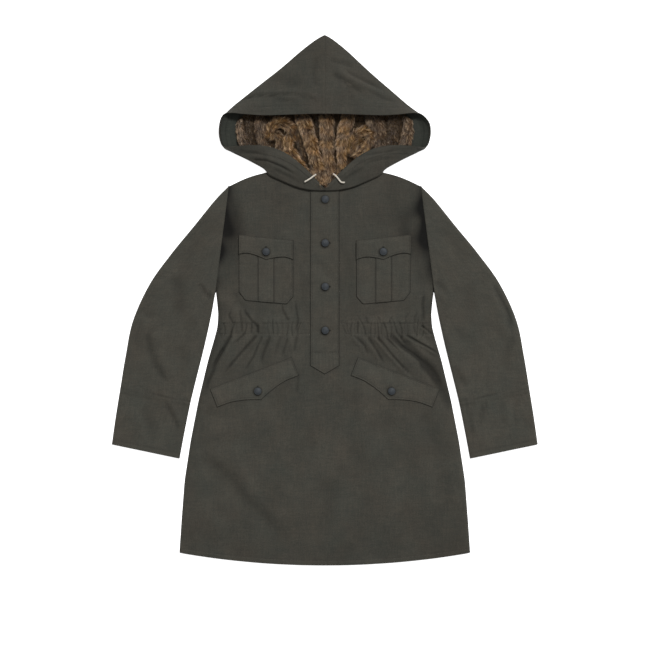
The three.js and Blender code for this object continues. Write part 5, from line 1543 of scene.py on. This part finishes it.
clothSheen = {"Specular IOR Level": 0.2, "Sheen Weight": 0.05, "Sheen Roughness": 0.5}
outerCloth = clothMaterial("olive_cotton", (0.0525, 0.0465, 0.0365), (0.0445, 0.0455, 0.0375), 1500, {
    **clothSheen, "Sheen Tint": (0.8, 0.78, 0.7, 1)})
facingCloth = clothMaterial("facing_cotton", (0.036, 0.037, 0.030), (0.030, 0.034, 0.028), 1700,
                            clothSheen)


def hairMaterial():
    material, tree, shader = newMaterial("fur_hair", {
        "Roughness": 0.5, "Specular IOR Level": 0.35, "Sheen Weight": 0.15, "Sheen Roughness": 0.35})
    along, strand, light, golden = (painted(tree, key) for key in ("along", "strand", "light", "golden"))
    grey = ramp(tree, strand, [
        (0.1, (0.08, 0.046, 0.025)), (0.5, (0.27, 0.17, 0.10)), (0.9, (0.78, 0.60, 0.43))])
    warm = ramp(tree, strand, [
        (0.1, (0.08, 0.034, 0.009)), (0.5, (0.35, 0.18, 0.055)), (0.9, (0.78, 0.53, 0.27))])
    root = (0.022, 0.012, 0.006, 1)
    upward = ramp(tree, along, [(0.0, (0, 0, 0)), (0.65, (1, 1, 1))])
    grown = mixColour(tree, upward, root, mixColour(tree, golden, grey, warm))
    lock = remap(tree, noise(tree, objectPlace(tree), 130.0, 2.0), 0.35, 0.65, 0.7, 1.25)
    colour = scaled(tree, grown, calc(tree, "MULTIPLY", light, lock))
    tree.links.new(colour, shader.inputs["Base Color"])
    return material


def furSkinMaterial():
    material, tree, shader = newMaterial("fur_skin", {"Roughness": 0.9, "Specular IOR Level": 0.1})
    clumps = noise(tree, objectPlace(tree), 260.0, 4.0)
    colour = ramp(tree, clumps, [(0.3, (0.022, 0.014, 0.008)), (0.7, (0.075, 0.048, 0.026))])
    dress(tree, shader, colour, bumpNode(tree, 0.8, 0.001, clumps))
    return material


# wear: fine pebbles, and blotches where the paint or thread is lighter
def wearGroup():
    tree, given, out = newTree("wear", "ShaderNodeTree", [
        ("Vector", "NodeSocketVector", None), ("Scale", "NodeSocketFloat", 900.0)],
        [("Pebbles", "NodeSocketFloat"), ("Worn", "NodeSocketFloat")])
    pebble = noise(tree, given["Vector"], given["Scale"], 2.0)
    blotch = noise(tree, given["Vector"], 160.0, 4.0)
    tree.links.new(pebble, out.inputs["Pebbles"])
    tree.links.new(remap(tree, blotch, 0.52, 0.72, 0.0, 1.0), out.inputs["Worn"])
    return tree


wear = wearGroup()


def paintedMaterial(name, dark, light, scale, depth, constants):
    material, tree, shader = newMaterial(name, constants)
    used = addNode(tree, "ShaderNodeGroup", node_tree=wear)
    tree.links.new(objectPlace(tree), used.inputs["Vector"])
    used.inputs["Scale"].default_value = scale
    colour = mixColour(tree, used.outputs["Worn"], (*dark, 1), (*light, 1))
    dress(tree, shader, colour, bumpNode(tree, 0.6, depth, used.outputs["Pebbles"]))
    return material


buttonPaint = paintedMaterial("button_paint", (0.031, 0.036, 0.041), (0.044, 0.050, 0.056), 900, 0.0003, {
    "Roughness": 0.6, "Specular IOR Level": 0.28})
thread = paintedMaterial("thread", (0.088, 0.084, 0.070), (0.12, 0.114, 0.096), 3000, 0.0001, {
    "Roughness": 0.7, "Specular IOR Level": 0.25})
holeThread = paintedMaterial(
    "buttonhole_thread", (0.018, 0.019, 0.018), (0.028, 0.028, 0.026), 3000, 0.0001, {
        "Roughness": 0.7, "Specular IOR Level": 0.2})


def cordMaterial():
    material, tree, shader = newMaterial("cord_cotton", {
        "Roughness": 0.85, "Specular IOR Level": 0.2, "Sheen Weight": 0.3, "Sheen Roughness": 0.4})
    # painted shade in the grooves between the braid's strands
    shade = remap(tree, painted(tree, "tone"), -0.2, 0.8, 0.0, 1.0)
    colour = mixColour(tree, shade, (0.46, 0.41, 0.33, 1), (0.76, 0.71, 0.62, 1))
    dress(tree, shader, colour, bumpNode(tree, 0.5, 0.0003, noise(tree, cutPlace(tree), 2200.0, 3.0)))
    return material


cordCotton = cordMaterial()
hair = hairMaterial()
for cord in cords:
    cord.data.materials.append(cordCotton)
for made in facings:
    made.data.materials.append(facingCloth)
for made in buttons:
    made.data.materials.append(buttonPaint)
furSkin.data.materials.append(furSkinMaterial())
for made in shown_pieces():
    if not made.data.materials and "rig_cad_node" not in made:
        made.data.materials.append(outerCloth)
print("smock: materials made")

furGrowth = {
    "density": 6.15e5, "length": 0.0112, "radius": 0.00045, "seed": 21,
    "splits": [-0.21, -0.047, 0.047, 0.21],
}
tree = hairTree()
for k, word in enumerate(("left", "middle", "right")):
    runTree(tree, furSkin, "fur_hair_" + word, {
        "Density": furGrowth["density"], "Length": furGrowth["length"],
        "Radius": furGrowth["radius"], "From": furGrowth["splits"][k],
        "To": furGrowth["splits"][k + 1], "Seed": furGrowth["seed"] + k, "Material": hair})

sewing = sewingTree()
source = makeLineMesh("sewing_lines", sewingLines() + hoodSewing())
topstitch = {"pitch": 0.0034, "length": 0.0026, "radius": 0.00032}
stitches = runTree(sewing, source, "topstitching", {
    "Pitch": topstitch["pitch"], "Stitch Length": topstitch["length"],
    "Thread Radius": topstitch["radius"], "Material": thread})
bpy.data.objects.remove(source)

# buttonholes: a slit's end shows beside each button, bound with close dark stitches
buttonhole = {"reach": 12.5, "gap": 0.9, "pitch": 0.0007, "length": 0.0006, "radius": 0.0006}


def buttonholeLines():
    lines = []
    for node in buttonNodes:
        low, high = nodeBox(node)
        x, y = (low[:2] + high[:2]) / 2
        turn = 0.0 if "placket" in node else math.radians(90)
        dx, dy = math.cos(turn), math.sin(turn)
        z = low[2] + threadLift
        for off in (-buttonhole["gap"], buttonhole["gap"]):
            lines.append(np.array([(x + dx * d - dy * off, y + dy * d + dx * off, z)
                                   for d in (4.0, 8.0, buttonhole["reach"])]))
    return lines


source = makeLineMesh("buttonhole_lines", buttonholeLines())
holes = runTree(sewing, source, "buttonholes", {
    "Pitch": buttonhole["pitch"], "Stitch Length": buttonhole["length"],
    "Thread Radius": buttonhole["radius"], "Material": holeThread})
bpy.data.objects.remove(source)
print("smock: sewing done")

# floor, daylight and one soft sun
stage = {
    "floor": 3.2, "floorZ": -0.0004, "white": 0.9, "glow": 0.86, "world": 0.375,
    "sun": 2.36, "sunWidth": 15, "sunFrom": (0.8, 1.6, 2.7),
}
floorMesh = bpy.data.meshes.new("floor")
reach = stage["floor"]
floorCorners = [(x * reach, y * reach, stage["floorZ"]) for x, y in ((-1, -1), (1, -1), (1, 1), (-1, 1))]
floorMesh.from_pydata(floorCorners, [], [(0, 1, 2, 3)])
floor = addObject("floor", floorMesh)
floorPaint, _, floorShader = newMaterial("floor_paint", {"Roughness": 0.9, "Specular IOR Level": 0.0})
floorShader.inputs["Base Color"].default_value = (stage["white"],) * 3 + (1,)
floorShader.inputs["Emission Color"].default_value = (1, 1, 1, 1)
floorShader.inputs["Emission Strength"].default_value = stage["glow"]
floorMesh.materials.append(floorPaint)

world = bpy.data.worlds.new("daylight")
world.use_nodes = True
sky = world.node_tree.nodes["Background"]
sky.inputs["Color"].default_value = (1, 1, 1, 1)
sky.inputs["Strength"].default_value = stage["world"]
bpy.context.scene.world = world
sunData = bpy.data.lights.new("sun", "SUN")
sunData.energy = stage["sun"]
sunData.angle = math.radians(stage["sunWidth"])
sun = addObject("sun", sunData)
sun.location = stage["sunFrom"]
fromX, fromY, fromZ = stage["sunFrom"]
tilt = math.atan2(math.hypot(fromX, fromY), fromZ)
sun.rotation_euler = (tilt, 0, math.atan2(fromY, fromX) + math.pi / 2)
bpy.context.scene.view_settings.view_transform = "Standard"
bpy.context.scene.view_settings.look = "None"
print("smock: stage set")
